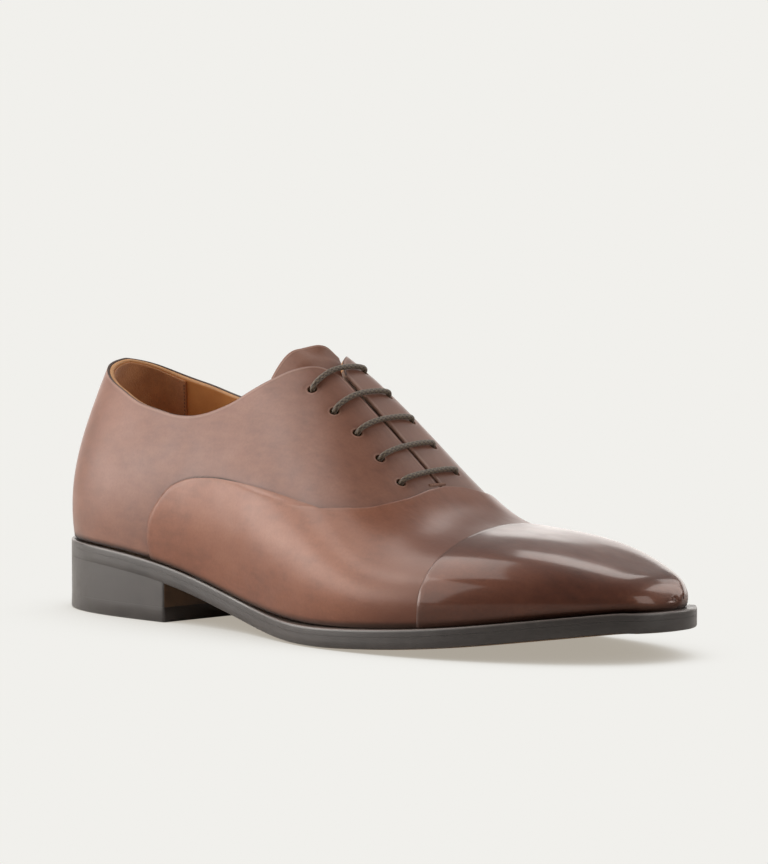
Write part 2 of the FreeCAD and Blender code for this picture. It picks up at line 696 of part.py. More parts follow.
def bottom_pieces():
    nodes = {}
    ring = plate(lip, WELT_BOTTOM, WELT_TOP, inner=WELT_INNER)
    nodes["heel_rand"] = ring.common(box(-20, RAND_X - 0.05))
    welt = ring.common(box(RAND_X + 0.05, 330))
    nodes.update(split_at_ball("welt", welt))
    nodes.update(split_at_ball("outsole", plate(lip, OUTSOLE_BOTTOM, OUTSOLE_TOP)))
    nodes.update(split_at_ball("insole", plate(-3.4, INSOLE_BOTTOM, INSOLE_TOP)))
    nodes.update(split_at_ball("sock", plate(-3.7, SOCK_BOTTOM, SOCK_BOTTOM + SOCK_THICK)))
    rib_outer = WELT_INNER - 0.1
    rib = plate(rib_outer, WELT_BOTTOM + 0.1, WELT_TOP, inner=rib_outer - RIB_WIDTH)
    nodes.update(split_at_ball("insole_rib", rib.common(box(RAND_X, 330))))
    shank_slot = shank_blank(0.1)
    cork = plate(rib_outer - RIB_WIDTH - 0.1, WELT_BOTTOM + 0.05, WELT_TOP)
    nodes.update(split_at_ball("cork_filler", cork.cut(shank_slot)))
    nodes["shank"] = shank_blank(0.0)
    return nodes


def shank_blank(play):
    """The steel strip that stiffens the waist, following the profile of the bottom."""
    x0, x1, width, thick = SHANK
    low = WELT_BOTTOM + 0.7 - play
    strip = box(x0 - play, x1 + play, y0=-width / 2 - play, y1=width / 2 + play)
    return slab(low, low + thick + 2 * play).common(strip)


def heel_pieces():
    """Wedge, two lifts and a rubber top piece, with nails driven up through the lifts."""
    under_sole = slab(-60.0, OUTSOLE_BOTTOM - 0.05)
    levels = [0.0, TOP_PIECE_THICK]
    levels += [levels[-1] + HEEL_LIFT_THICK, levels[-1] + 2 * HEEL_LIFT_THICK]
    names = ["heel_top_piece", "heel_lift_lower", "heel_lift_upper", "heel_wedge"]
    column = outline_prism(lip, 0.0, 40.0).common(box(-20, HEEL_BREAST_X))
    tops = levels[1:] + [40.0]
    nodes = {}
    for name, low, high in zip(names, levels, tops):
        layer = column.common(box(-20, 120, low, high - 0.05))
        nodes[name] = layer.common(under_sole)
    nails = heel_nails()
    for name in names[:3]:
        nodes[name] = nodes[name].cut(nails)
    nodes["heel_nails"] = heel_nails()
    return nodes


def heel_nails():
    """Nails in a horseshoe, from a little way up inside the top piece through both lifts."""
    middle_x, half_length, half_width = NAIL_RING
    pins = []
    for i in range(NAIL_PLACES):
        angle = math.radians(60 + 240 * i / (NAIL_PLACES - 1))
        x = middle_x + half_length * math.cos(angle)
        y = CENTRE_Y + 0.5 + half_width * math.sin(angle)
        pins.append(Part.makeCylinder(NAIL_R, NAIL_LENGTH, V(x, y, NAIL_START)))
    return Part.makeCompound(pins)


# ---- all the nodes ---------------------------------------------------------------------------------
def main():
    os.makedirs("parts", exist_ok=True)
    nodes = {}
    for group in (quarters, facing_stays, rear_linings, front_of_upper, tongue, eyelets, lace,
                  bottom_pieces, heel_pieces):
        nodes.update(group())
    for name, shape in nodes.items():
        shape.translate(V(-CENTRE_X, -CENTRE_Y, 0))
        shape.exportStep("parts/%s.step" % name)


main()
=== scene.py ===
import math
import bmesh
import bpy
import numpy as np
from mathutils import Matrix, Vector

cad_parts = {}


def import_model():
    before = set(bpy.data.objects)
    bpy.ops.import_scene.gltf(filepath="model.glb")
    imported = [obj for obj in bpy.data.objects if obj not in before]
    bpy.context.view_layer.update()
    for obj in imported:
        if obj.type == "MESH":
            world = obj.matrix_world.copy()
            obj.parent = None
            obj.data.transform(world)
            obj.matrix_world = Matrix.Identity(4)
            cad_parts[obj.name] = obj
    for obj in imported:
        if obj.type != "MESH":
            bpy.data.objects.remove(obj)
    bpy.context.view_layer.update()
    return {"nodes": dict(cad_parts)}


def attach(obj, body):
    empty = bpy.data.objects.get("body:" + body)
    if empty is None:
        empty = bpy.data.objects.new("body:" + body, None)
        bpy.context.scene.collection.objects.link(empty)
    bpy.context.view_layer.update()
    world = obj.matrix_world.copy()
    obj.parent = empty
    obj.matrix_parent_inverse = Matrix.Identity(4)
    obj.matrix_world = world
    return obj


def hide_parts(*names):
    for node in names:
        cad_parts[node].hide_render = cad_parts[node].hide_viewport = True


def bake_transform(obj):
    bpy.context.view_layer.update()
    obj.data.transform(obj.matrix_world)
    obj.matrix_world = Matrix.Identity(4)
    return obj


# The looks of a leather oxford shoe, right foot.  Lengths are in millimetres, with x = 0 at the back of
# the heel; build() turns them into metres in the CAD's frame.  (u, v) lies on the last: u runs from the
# back seam to the toe, v from the outer feather edge over the top to the inner one.

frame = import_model()

CENTRE = np.array([153.39, -3.42, 0.0])        # of the shoe's box, where the CAD has its origin

# Where a piece bends: from and to, measured past the hinge, and how far the bend's planes lean.  The
# upper's lean so that the throat keeps still; the sole's are upright so that it stays off the floor.
UPPER_BEND = (-18.5, 5.0, math.radians(25.0))
SOLE_BEND = (-15.0, 15.0, 0.0)

# Each ply lies between two heights above the (u, v) surface.
QUARTER = (-1.15, 0.0)
LINING_PLY = (-3.01, -2.14)
GRIP_PLY = (-3.75, -3.08)
VAMP = (0.14, 1.19)
CAP = (1.33, 2.38)
BACKING = (-0.7, -0.1)
FRONT_LINING = (-1.74, -0.84)
TONGUE_THICK = 1.3
TONGUE_LINING_THICK = 0.8
PLY_GAP = 0.07
FEATHER_V = 0.002              # pieces keep this far from the feather edge, and above the welt
WELT_PLAY = 0.08
BACK_FOOT, BACK_HEIGHT = 28.0, 70.0            # the back rises from here by this much
BACK_LEAN = 14.0               # and leans forward and bulges, up to where the change has faded
BACK_BULGE = 0.5
BACK_FADE_X = 110.0
BACK_SEAM_U = 0.0004
HEEL_BREAST_X = 82.0
EYELET_HOLE_R = 1.9
LINING_HOLE_R = 2.15
LACE_R = 1.05
LACE_OUT = 1.5                 # the lace's height over the facing, and behind it
LACE_IN = -4.7

# The last, section by section: x, the feather edge's height, half widths outwards and inwards from the
# feather edge to the top, the ridge's y and height, and how high the two side points stand.
SECTIONS = [
    (0, 28.5, 0, 0, 0, 0, 0, 0, 0, 0, 0, 120, 0.25, 0.62),
    (0, 28.5, 15.5, 20.5, 13.5, 9, 20, 21, 17, 9, 0, 120, 0.25, 0.62),
    (16, 28, 31, 36.5, 26, 14, 31, 35, 28, 14, 0, 117, 0.23, 0.60),
    (50, 27, 37.5, 40, 30.5, 15, 33, 38, 30, 15, 0, 119.5, 0.25, 0.62),
    (90, 22, 37, 41, 34, 15, 29, 38, 33, 15, 0, 121.5, 0.25, 0.62),
    (130, 11, 39, 46, 38, 15, 30, 42, 36, 15, 1.5, 111, 0.28, 0.64),
    (170, 7, 50.5, 54, 45, 18, 40, 50, 40, 18, 2.5, 79.5, 0.30, 0.70),
    (205, 8.5, 51.7, 55.2, 49.2, 23.5, 45.2, 51.2, 43.7, 21.5, 5, 42, 0.30, 0.75),
    (240, 11, 47, 50, 45, 23, 43, 47, 41, 21, 7, 41.2, 0.30, 0.80),
    (268, 14.7, 34.5, 37.5, 33.7, 17, 37, 40, 35.2, 17, 8.5, 37, 0.30, 0.80),
    (291, 17.8, 19, 21, 19, 11, 25, 28.3, 25, 11.5, 8.5, 29.5, 0.30, 0.80),
    (301.5, 19, 5, 6.5, 6, 3.5, 16.5, 18.5, 16.5, 5, 8.8, 26.5, 0.30, 0.80),
    (301.5, 18.5, -8, -8, -8, -8, 8, 8, 8, 8, 8, 18.5, 0.30, 0.80),
]
# Lines on the last, as (parameter, u, v) stations.
TOPLINE = [
    (0.00, 0.000, 0.247), (0.13, 0.055, 0.235), (0.32, 0.139, 0.208), (0.46, 0.199, 0.183),
    (0.56, 0.244, 0.173), (0.64, 0.280, 0.170), (0.70, 0.310, 0.177), (0.76, 0.338, 0.195),
    (0.80, 0.360, 0.220), (0.86, 0.390, 0.280), (0.91, 0.408, 0.338), (0.95, 0.422, 0.398),
    (1.00, 0.438, 0.443),
]
QUARTER_LOWER_EDGE = [
    (0.00, 0.000, 0.000), (0.14, 0.060, 0.000), (0.28, 0.120, 0.000), (0.42, 0.180, 0.000),
    (0.55, 0.235, 0.000), (0.61, 0.272, 0.012), (0.66, 0.302, 0.048), (0.71, 0.345, 0.080),
    (0.76, 0.400, 0.093), (0.81, 0.455, 0.105), (0.855, 0.500, 0.130), (0.90, 0.540, 0.165),
    (0.94, 0.573, 0.230), (0.97, 0.590, 0.330), (1.00, 0.594, 0.486),
]
LINING_LOWER_EDGE = [
    (0.00, 0.000, 0.004), (0.20, 0.085, 0.004), (0.40, 0.170, 0.004), (0.56, 0.240, 0.004),
    (0.66, 0.310, 0.004), (0.72, 0.370, 0.028), (0.77, 0.420, 0.060), (0.82, 0.470, 0.085),
    (0.87, 0.515, 0.115), (0.91, 0.552, 0.155), (0.95, 0.582, 0.225), (0.98, 0.596, 0.340),
    (1.00, 0.600, 0.486),
]
FACING_EDGE = [
    (0.00, 0.594, 0.486), (0.22, 0.558, 0.488), (0.33, 0.541, 0.486), (0.50, 0.514, 0.472),
    (0.66, 0.490, 0.458), (0.82, 0.465, 0.447), (1.00, 0.438, 0.443),
]
FACING_GAP_TOP = 0.036
FACING_GAP_THROAT = 0.011
GALOSH_SEAM = [
    (0.0000, 0.259, 0.000), (0.0245, 0.255, 0.020), (0.0490, 0.260, 0.043),
    (0.0695, 0.271, 0.060), (0.0950, 0.289, 0.080), (0.1250, 0.315, 0.095),
    (0.1580, 0.345, 0.105), (0.1920, 0.376, 0.113), (0.2450, 0.424, 0.120),
    (0.2790, 0.455, 0.128), (0.3100, 0.484, 0.140), (0.3410, 0.514, 0.165),
    (0.3640, 0.535, 0.195), (0.3940, 0.559, 0.247), (0.4345, 0.571, 0.338),
    (0.4730, 0.568, 0.435), (0.5000, 0.566, 0.500),
]
BACKING_REAR_EDGE = [
    (0.00, 0.335, 0.000), (0.06, 0.340, 0.030), (0.14, 0.380, 0.065), (0.22, 0.440, 0.078),
    (0.30, 0.500, 0.103), (0.36, 0.545, 0.145), (0.41, 0.582, 0.215), (0.455, 0.603, 0.330),
    (0.50, 0.607, 0.500),
]
# The cap's back seam as (v, u), and how v spreads along the vamp's front.
CAP_SEAM = [
    (0.000, 0.676, 0), (0.037, 0.679, 0), (0.100, 0.681, 0), (0.168, 0.682, 0), (0.228, 0.680, 0),
    (0.310, 0.672, 0), (0.408, 0.660, 0), (0.515, 0.650, 0), (0.615, 0.655, 0), (0.700, 0.665, 0),
    (0.800, 0.675, 0), (0.900, 0.680, 0), (1.000, 0.678, 0),
]
SEAM_SPREAD = [
    (0.000, 0.000, 0), (0.043, 0.037, 0), (0.103, 0.100, 0), (0.163, 0.168, 0),
    (0.222, 0.228, 0), (0.309, 0.310, 0), (0.410, 0.408, 0), (0.500, 0.500, 0),
]
VAMP_UNDER_CAP_U = 0.026
EYELETS = [(0.434, 0.323), (0.465, 0.328), (0.494, 0.343), (0.524, 0.355), (0.552, 0.365)]
EYELETS_MEDIAL = [(0.430, 0.612), (0.461, 0.614), (0.490, 0.617), (0.517, 0.620), (0.546, 0.624)]


# ---- the surface ---------------------------------------------------------------------------------
def smooth(t):
    """A step from 0 to 1 with soft ends."""
    t = np.clip(t, 0.0, 1.0)
    return t * t * (3.0 - 2.0 * t)


def control_net():
    rows = []
    for x, zf, a0, a1, a2, a3, b0, b1, b2, b3, yr, zr, k1, k2 in SECTIONS:
        heights = [0, k1, k2, 1, 1, 1, k2, k1, 0]
        widths = [-a0, -a1, -a2, -a3 + yr, yr, b3 + yr, b2, b1, b0]
        rows.append([(x, y, zf + (zr - zf) * h) for y, h in zip(widths, heights)])
    return np.array(rows, float)


NET = control_net()


def weights(t, count):
    """Cubic B-spline weights of the control points, over even clamped knots."""
    knots = np.concatenate([[0.0] * 3, np.linspace(0, 1, count - 2), [1.0] * 3])
    t = np.clip(t, 0.0, 1.0 - 1e-9)
    row = [((knots[i] <= t) & (t < knots[i + 1])).astype(float) for i in range(len(knots) - 1)]
    for degree in (1, 2, 3):
        step = []
        for i in range(len(row) - 1):
            rise = knots[i + degree] - knots[i]
            fall = knots[i + degree + 1] - knots[i + 1]
            w = np.zeros_like(t)
            if rise > 0:
                w = w + (t - knots[i]) / rise * row[i]
            if fall > 0:
                w = w + (knots[i + degree + 1] - t) / fall * row[i + 1]
            step.append(w)
        row = step
    return np.stack(row, -1)


def point(u, v):
    u, v = np.broadcast_arrays(np.asarray(u, float), np.asarray(v, float))
    p = np.einsum("...i,...j,ijc->...c", weights(u, 13), weights(v, 9), NET)
    rise = np.clip((p[..., 2] - BACK_FOOT) / BACK_HEIGHT, 0.0, 1.6)
    bulge = BACK_BULGE * np.sin(math.pi * np.minimum(1.0, rise) ** 0.8)
    p[..., 0] += (bulge + BACK_LEAN * rise * rise) * smooth(1.0 - p[..., 0] / BACK_FADE_X)
    return p


def unit(a):
    return a / np.maximum(1e-12, np.linalg.norm(a, axis=-1, keepdims=True))


def normal(u, v):
    """Outwards from the surface; straight ahead at the tip, where all its lines meet."""
    step = 0.0008
    ahead = point(np.clip(u + step, 0, 1), v) - point(np.clip(u - step, 0, 1), v)
    across = point(u, np.clip(v + step, 0, 1)) - point(u, np.clip(v - step, 0, 1))
    n = unit(np.cross(ahead, across))
    tip = smooth((np.asarray(u) - 0.965) / 0.034)[..., None]
    return unit(n * (1.0 - tip) + np.array([1.0, 0.0, 0.0]) * tip)


FEATHER_LINE = point(np.linspace(0, 1, 401), np.zeros(401))


def feather_height(x):
    return np.interp(x, FEATHER_LINE[:, 0], FEATHER_LINE[:, 2])


def at(u, v, offset):
    """A point at a height over the surface, kept clear of the welt."""
    u = np.clip(u, 0.0, 1.0)
    v = np.clip(v, FEATHER_V, 1.0 - FEATHER_V)
    p = point(u, v) + normal(u, v) * np.asarray(offset, float)[..., None]
    p[..., 2] = np.maximum(p[..., 2], feather_height(p[..., 0]) + WELT_PLAY)
    return p


def along(stations, t):
    """Smooth curve through (parameter, a, b) stations: arrays a and b."""
    table = np.array(stations, float)
    key = table[:, 0]
    t = np.clip(t, key[0], key[-1])
    k = np.clip(np.searchsorted(key, t) - 1, 0, len(key) - 2)
    last = len(key) - 1
    slope = []
    for i in (k, k + 1):
        lo, hi = np.maximum(0, i - 1), np.minimum(last, i + 1)
        slope.append((table[hi, 1:] - table[lo, 1:]) / (key[hi] - key[lo])[..., None])
    h = (key[k + 1] - key[k])[..., None]
    s = (t - key[k])[..., None] / h
    value = (2 * s ** 3 - 3 * s * s + 1) * table[k, 1:] + (s ** 3 - 2 * s * s + s) * slope[0] * h
    value = value + (3 * s * s - 2 * s ** 3) * table[k + 1, 1:] + (s ** 3 - s * s) * slope[1] * h
    return value[..., 0], value[..., 1]


def both_sides(stations, t):
    """A line that is given for the outer side and mirrored to the inner one."""
    u, v = along(stations, np.where(t <= 0.5, t, 1.0 - t))
    return u, np.where(t <= 0.5, v, 1.0 - v)


def cap_seam_u(v):
    return along(CAP_SEAM, v)[0]


def front_v(t):
    v = along(SEAM_SPREAD, np.where(t <= 0.5, t, 1.0 - t))[0]
    return np.where(t <= 0.5, v, 1.0 - v)


def facing_rise(u):
    """How far along the facing from the throat (0) to the top (1)."""
    throat, top = FACING_EDGE[0][1], FACING_EDGE[-1][1]
    return (throat - u) / (throat - top)


def facing_edge_v(u):
    return along(FACING_EDGE, facing_rise(u))[1]


def facing_gap(u):
    """The slit between the two facings, in v."""
    rise = np.clip(facing_rise(u), 0.0, 1.0)
    return FACING_GAP_THROAT + (FACING_GAP_TOP - FACING_GAP_THROAT) * rise


# ---- patches from the unit square to (u, v) ---------------------------------------------------------
def quarter_patch(lower_edge):
    """Between back seam, lower edge, facing and topline: the four borders' mix, less the corners'."""
    def border(line, s):
        u, v = along(line, s)
        return np.stack([np.maximum(BACK_SEAM_U, u), v])
    ends = [border(line, np.array(s)) for line in (lower_edge, TOPLINE) for s in (0.0, 1.0)]

    def left(t):
        return np.stack([BACK_SEAM_U + 0 * t, ends[0][1] + t * (ends[2][1] - ends[0][1])])

    def right(t):
        u, v = along(FACING_EDGE, t)
        base, tip = FACING_EDGE[0], FACING_EDGE[-1]
        du = (1 - t) * (ends[1][0] - base[1]) + t * (ends[3][0] - tip[1])
        dv = (1 - t) * (ends[1][1] - base[2]) + t * (ends[3][1] - tip[2])
        return np.stack([u + du, v + dv])

    def patch(s, t):
        s = 1.0 - (1.0 - s) ** 1.7
        mixed = (1 - t) * border(lower_edge, s) + t * border(TOPLINE, s)
        mixed = mixed + (1 - s) * left(t) + s * right(t)
        corner = [e.reshape((2,) + (1,) * s.ndim) for e in ends]
        flat = (1 - s) * (1 - t) * corner[0] + s * (1 - t) * corner[1]
        flat = flat + (1 - s) * t * corner[2] + s * t * corner[3]
        return mixed - flat
    return patch


def medial_quarter_patch(lower_edge):
    """The outer quarter mirrored, and drawn over until it leaves the slit between the facings."""
    base = quarter_patch(lower_edge)

    def patch(s, t):
        u, v = base(s, t)
        edge_v = facing_edge_v(u)
        reach = smooth(v / edge_v) * smooth((u - 0.33) / 0.10)
        return np.stack([u, 1.0 - v - reach * (1.0 - 2.0 * edge_v - facing_gap(u))])
    return patch


def vamp_patch(rear_edge, front_overlap):
    """From a rear edge straight forward to just under the cap."""
    def patch(s, t):
        u0, v0 = both_sides(rear_edge, s)
        v1 = front_v(s)
        u1 = cap_seam_u(v1) + front_overlap
        return np.stack([(1 - t) * u0 + t * u1, (1 - t) * v0 + t * v1])
    return patch


def toe_patch(s, t):
    """A half disc whose round side is the cap seam and whose middle is the toe's tip."""
    x = 1.0 - 2.0 * s
    a = x * np.sqrt(1.0 - 0.5 * t * t)
    b = t * np.sqrt(1.0 - 0.5 * x * x)
    radius = np.minimum(1.0, np.hypot(a, b))
    v = np.where(radius > 1e-9, np.arctan2(b, a) / math.pi, 0.5)
    return np.stack([1.0 - radius * (1.0 - cap_seam_u(v)), v])


def heel_patch(reach_u, top_drop, bottom_v):
    """Round the heel from side to side, up to a little below the topline."""
    def patch(s, t):
        side = 2.0 * s - 1.0
        u = np.abs(side) * reach_u
        top = along(TOPLINE, np.minimum(1.0, u / 0.43))[1] - top_drop
        v = bottom_v + t * (top - bottom_v)
        return np.stack([u, np.where(side < 0, v, 1.0 - v)])
    return patch


def tongue_patch(s, t):
    """s runs from the free top to the stitched front, t from the outer to the inner side.  The top
    reaches further out on the outer side and is cut lower on the inner one."""
    u = 0.384 + 0.212 * s
    half = 0.195 - 0.045 * s + 0.018 * np.sin(math.pi * s)
    corner = 0.03 * smooth((0.10 - s) / 0.10) ** 2
    wider = 0.022 * (1 - t) ** 2 * (1 - s) ** 2
    return np.stack([u - 0.002 * (1 - s) + 0.012 * smooth(2 * t - 1) * (1 - s),
                     0.475 + (2 * t - 1) * (half - corner) - wider])


def tongue_drop(u, v):
    """The tongue's height under the surface: closer to it at both ends, flared at its inner top."""
    flare = 3.5 * smooth((0.401 - u) / 0.016) * smooth((v - 0.46) / 0.13)
    return -6.15 + 2.5 * smooth((0.428 - u) / 0.03) + 2.0 * smooth((u - 0.572) / 0.03) + flare


# ---- meshes -----------------------------------------------------------------------------------------
RIM_STEPS = 5


def build(name, verts, faces, materials, face_material=None, attributes=None):
    """A mesh object from millimetre points; attributes are per-vertex numbers for the shaders."""
    mesh = bpy.data.meshes.new(name)
    mesh.from_pydata(((np.asarray(verts) - CENTRE) * 0.001).tolist(), [], [list(f) for f in faces])
    for m in materials:
        mesh.materials.append(m)
    if face_material is not None:
        mesh.polygons.foreach_set("material_index", np.asarray(face_material, np.int32))
    for key, values in (attributes or {}).items():
        layer = mesh.attributes.new(key, "FLOAT", "POINT")
        layer.data.foreach_set("value", np.asarray(values, np.float32).ravel())
    mesh.polygons.foreach_set("use_smooth", [True] * len(mesh.polygons))
    outward = bmesh.new()
    outward.from_mesh(mesh)
    bmesh.ops.recalc_face_normals(outward, faces=outward.faces)
    outward.to_mesh(mesh)
    outward.free()
    mesh.update()
    obj = bpy.data.objects.new(name, mesh)
    bpy.context.scene.collection.objects.link(obj)
    return obj


def grid_faces(n, m, start=0, flip=False):
    i, j = np.meshgrid(np.arange(n - 1), np.arange(m - 1), indexing="ij")
    a = start + i * m + j
    quads = np.stack([a, a + m, a + m + 1, a + 1], -1).reshape(-1, 4)
    return quads[:, ::-1] if flip else quads


def rim_walk(n, m):
    """Indices (i, j) once round the border of an n by m grid, and the neighbours just inside."""
    walk = [(i, 0) for i in range(n - 1)] + [(n - 1, j) for j in range(m - 1)]
    walk += [(i, m - 1) for i in range(n - 1, 0, -1)] + [(0, j) for j in range(m - 1, 0, -1)]
    edge = np.array(walk)
    inside = np.stack([np.clip(edge[:, 0], 1, n - 2), np.clip(edge[:, 1], 1, m - 2)], -1)
    return edge, inside


def sheet(name, patch, low, high, columns, rows, materials, relief=None, edges=None, rim=0.55):
    """A ply between two offsets of a patch, with a rolled rim.  The materials are for the outer face,
    the rim, the inner face and the rim's front run; fewer are shared."""
    s, t = np.meshgrid(np.linspace(0, 1, columns + 1), np.linspace(0, 1, rows + 1), indexing="ij")
    u, v = patch(s, t)
    out = high(u, v) if callable(high) else high + 0 * u
    inn = low(u, v) if callable(low) else low + 0 * u
    lift = relief(u, v, s, t) if relief else 0.0
    outer = at(u, v, out + lift)
    inner = at(u, v, inn)
    return shell(name, outer, inner, materials, edges(u, v, s, t, outer) if edges else None, rim)


def shell(name, outer, inner, materials, attributes=None, rim=0.55):
    """A closed skin over two grids of points; half circles of RIM_STEPS join their borders."""
    n, m = outer.shape[:2]
    edge, inside = rim_walk(n, m)
    top, bottom = outer[edge[:, 0], edge[:, 1]], inner[edge[:, 0], edge[:, 1]]
    middle, half = (top + bottom) / 2, (top - bottom) / 2
    away = top - outer[inside[:, 0], inside[:, 1]]
    up = unit(half)
    away = unit(away - up * np.sum(away * up, -1, keepdims=True))
    thick = np.linalg.norm(half, axis=-1, keepdims=True)
    rings = []
    for k in range(1, RIM_STEPS):
        angle = math.pi * k / RIM_STEPS
        rings.append(middle + half * math.cos(angle) + away * thick * rim * 2 * math.sin(angle) * 0.8)
    verts = np.concatenate([outer.reshape(-1, 3), inner.reshape(-1, 3)] + rings)
    count = n * m
    faces = [grid_faces(n, m), grid_faces(n, m, count, True)]
    kinds = [np.zeros(len(faces[0]), int), np.full(len(faces[1]), min(2, len(materials) - 1))]
    index = edge[:, 0] * m + edge[:, 1]
    length = len(edge)
    levels = [index] + [2 * count + k * length + np.arange(length) for k in range(RIM_STEPS - 1)]
    levels.append(count + index)
    for a, b in zip(levels, levels[1:]):
        quads = np.stack([a, b, np.roll(b, -1), np.roll(a, -1)], -1)
        faces.append(quads)
        kind = np.full(length, min(1, len(materials) - 1))
        if len(materials) > 3:
            kind[n - 1:n + m - 2] = 3
        kinds.append(kind)
    full = {}
    for key, values in (attributes or {}).items():
        flat = values.reshape(-1)
        around = values[edge[:, 0], edge[:, 1]]
        full[key] = np.concatenate([flat, flat] + [around] * (RIM_STEPS - 1))
    return build(name, verts, np.concatenate(faces), materials, np.concatenate(kinds), full)


def distances(line):
    """Distance of each point of a line from its start, along the line."""
    return np.concatenate([[0], np.cumsum(np.linalg.norm(np.diff(line, axis=0), axis=1))])


def pick(line, run, where):
    """The points of a line at the given distances."""
    return np.stack([np.interp(where, run, line[:, c]) for c in range(line.shape[1])], -1)


def even(line, count):
    run = distances(line)
    return pick(line, run, np.linspace(0, run[-1], count))


def ring(middle, first, second, radius, count):
    """Points of a circle in the plane of two directions."""
    turn = np.linspace(0, 2 * math.pi, count, endpoint=False)[:, None]
    return list(middle + radius * (first * np.cos(turn) + second * np.sin(turn)))


def tube_faces(rows, around, base=0):
    """Quads between rings of vertices that follow each other."""
    i, j = np.meshgrid(np.arange(rows - 1), np.arange(around), indexing="ij")
    k = (j + 1) % around
    quads = np.stack([i * around + j, i * around + k, (i + 1) * around + k, (i + 1) * around + j], -1)
    return (base + quads.reshape(-1, 4)).tolist()


def run_length(outer, axis, back=False):
    """Distance in mm along one grid direction, from the first row or from the last."""
    steps = np.linalg.norm(np.diff(outer, axis=axis), axis=-1)
    pad = [(0, 0), (0, 0)]
    pad[axis] = (1, 0)
    total = np.cumsum(np.pad(steps, pad), axis=axis)
    if back:
        total = np.take(total, [-1], axis=axis) - total
    return total


# ---- materials --------------------------------------------------------------------------------------
class Nodes:
    """Short hand for building a node tree: a new material's, or a given one that is cleared first."""

    def __init__(self, name, tree=None):
        if tree is not None:
            self.tree = tree
            tree.nodes.clear()
            return
        self.material = bpy.data.materials.new(name)
        self.material.use_nodes = True
        self.tree = self.material.node_tree
        self.shader = self.tree.nodes["Principled BSDF"]

    def add(self, kind, inputs=None, **settings):
        node = self.tree.nodes.new("ShaderNode" + kind)
        for key, value in settings.items():
            setattr(node, key, value)
        for key, value in (inputs or {}).items():
            self.feed(node.inputs[key], value)
        return node

    def feed(self, socket, value):
        if isinstance(value, bpy.types.NodeSocket):
            self.tree.links.new(value, socket)
        elif isinstance(value, (tuple, list)) and len(value) == 3 and socket.type == "RGBA":
            socket.default_value = (*value, 1.0)
        else:
            socket.default_value = value

    def set(self, **values):
        for key, value in values.items():
            self.feed(self.shader.inputs[key.replace("_", " ")], value)

    def noise(self, vector, scale, detail=3.0, rough=0.5):
        inputs = {"Vector": vector, "Scale": scale, "Detail": detail, "Roughness": rough}
        return self.add("TexNoise", inputs).outputs["Fac"]

    def ramp(self, value, stops, interpolation="LINEAR"):
        node = self.add("ValToRGB", {"Fac": value})
        node.color_ramp.interpolation = interpolation
        element = node.color_ramp.elements
        while len(element) < len(stops):
            element.new(0.5)
        for e, (where, color) in zip(element, stops):
            e.position = where
            e.color = (*color, 1.0)
        return node.outputs["Color"]

    def mix(self, factor, a, b, blend="MIX"):
        node = self.add("Mix", data_type="RGBA", blend_type=blend)
        self.feed(node.inputs[0], factor)
        self.feed(node.inputs[6], a)
        self.feed(node.inputs[7], b)
        return node.outputs[2]

    def math(self, operation, a, b=0.0, c=0.0):
        node = self.add("Math", operation=operation)
        for socket, value in zip(node.inputs, (a, b, c)):
            self.feed(socket, value)
        return node.outputs[0]

    def fall(self, value, start, end, low=0.0, high=1.0):
        """A smooth step of value: low before start, high after end."""
        node = self.add("MapRange", {"Value": value, "From Min": start, "From Max": end,
                                     "To Min": low, "To Max": high}, interpolation_type="SMOOTHSTEP")
        return node.outputs[0]

    def attribute(self, name):
        return self.add("Attribute", attribute_name=name).outputs["Fac"]

    def bump(self, height, distance, strength=1.0, below=None):
        inputs = {"Height": height, "Distance": distance, "Strength": strength}
        if below is not None:
            inputs["Normal"] = below
        return self.add("Bump", inputs).outputs["Normal"]

    def place(self):
        return self.add("TexCoord").outputs["Object"]

    def stretched(self, scale):
        return self.add("Mapping", {"Vector": self.place(), "Scale": scale}).outputs["Vector"]


def grain_bump(n, vector, pore=1500.0, depth=0.00003, creases=0.0):
    """Fine hair-cell grain of calf: small flat cells, a few pores, and optional soft creases."""
    cells = n.add("TexVoronoi", {"Vector": vector, "Scale": pore}, feature="SMOOTH_F1").outputs[0]
    soft = n.noise(vector, pore * 0.35, 3.0)
    both = n.math("ADD", n.math("MULTIPLY", cells, 0.6), n.math("MULTIPLY", soft, 0.8))
    normal_out = n.bump(both, depth)
    if creases:
        wave = n.noise(n.stretched((60.0, 160.0, 60.0)), 1.0, 2.0)
        normal_out = n.bump(wave, creases, 1.0, normal_out)
    return normal_out


def seam_lines(n, edge, color, fold_highlight, edge_shadow, normal_in):
    """A pared edge: a painted shadow as a dark line where it lies down, a painted highlight on the
    bend, a soft channel behind it with painted shade in it.

    edge is the distance in mm from the piece's border."""
    # painted highlight: a light band about 0.7 mm in from the border, on the bend
    rim = n.fall(n.math("ABSOLUTE", n.math("SUBTRACT", edge, 0.70)), 0.0, 0.55, 1.0, 0.0)
    color = n.mix(n.math("MULTIPLY", rim, fold_highlight), color, (0.40, 0.24, 0.18))
    # painted shadow: a dark line along the border, where the edge lies down
    color = n.mix(n.fall(edge, 0.15, 0.45, edge_shadow, 0.0), color, (0.020, 0.009, 0.006))
    # a soft channel about 1.7 mm in: bumped in, and darkened with painted shade
    off = n.math("ABSOLUTE", n.math("SUBTRACT", edge, 1.7))
    groove = n.fall(off, 0.0, 0.75, 1.0, 0.0)
    color = n.mix(n.math("MULTIPLY", groove, 0.12), color, n.mix(1.0, color, (0.6,) * 3, "MULTIPLY"))
    return color, n.bump(n.math("SUBTRACT", 1.0, groove), 0.00003, 1.0, normal_in)


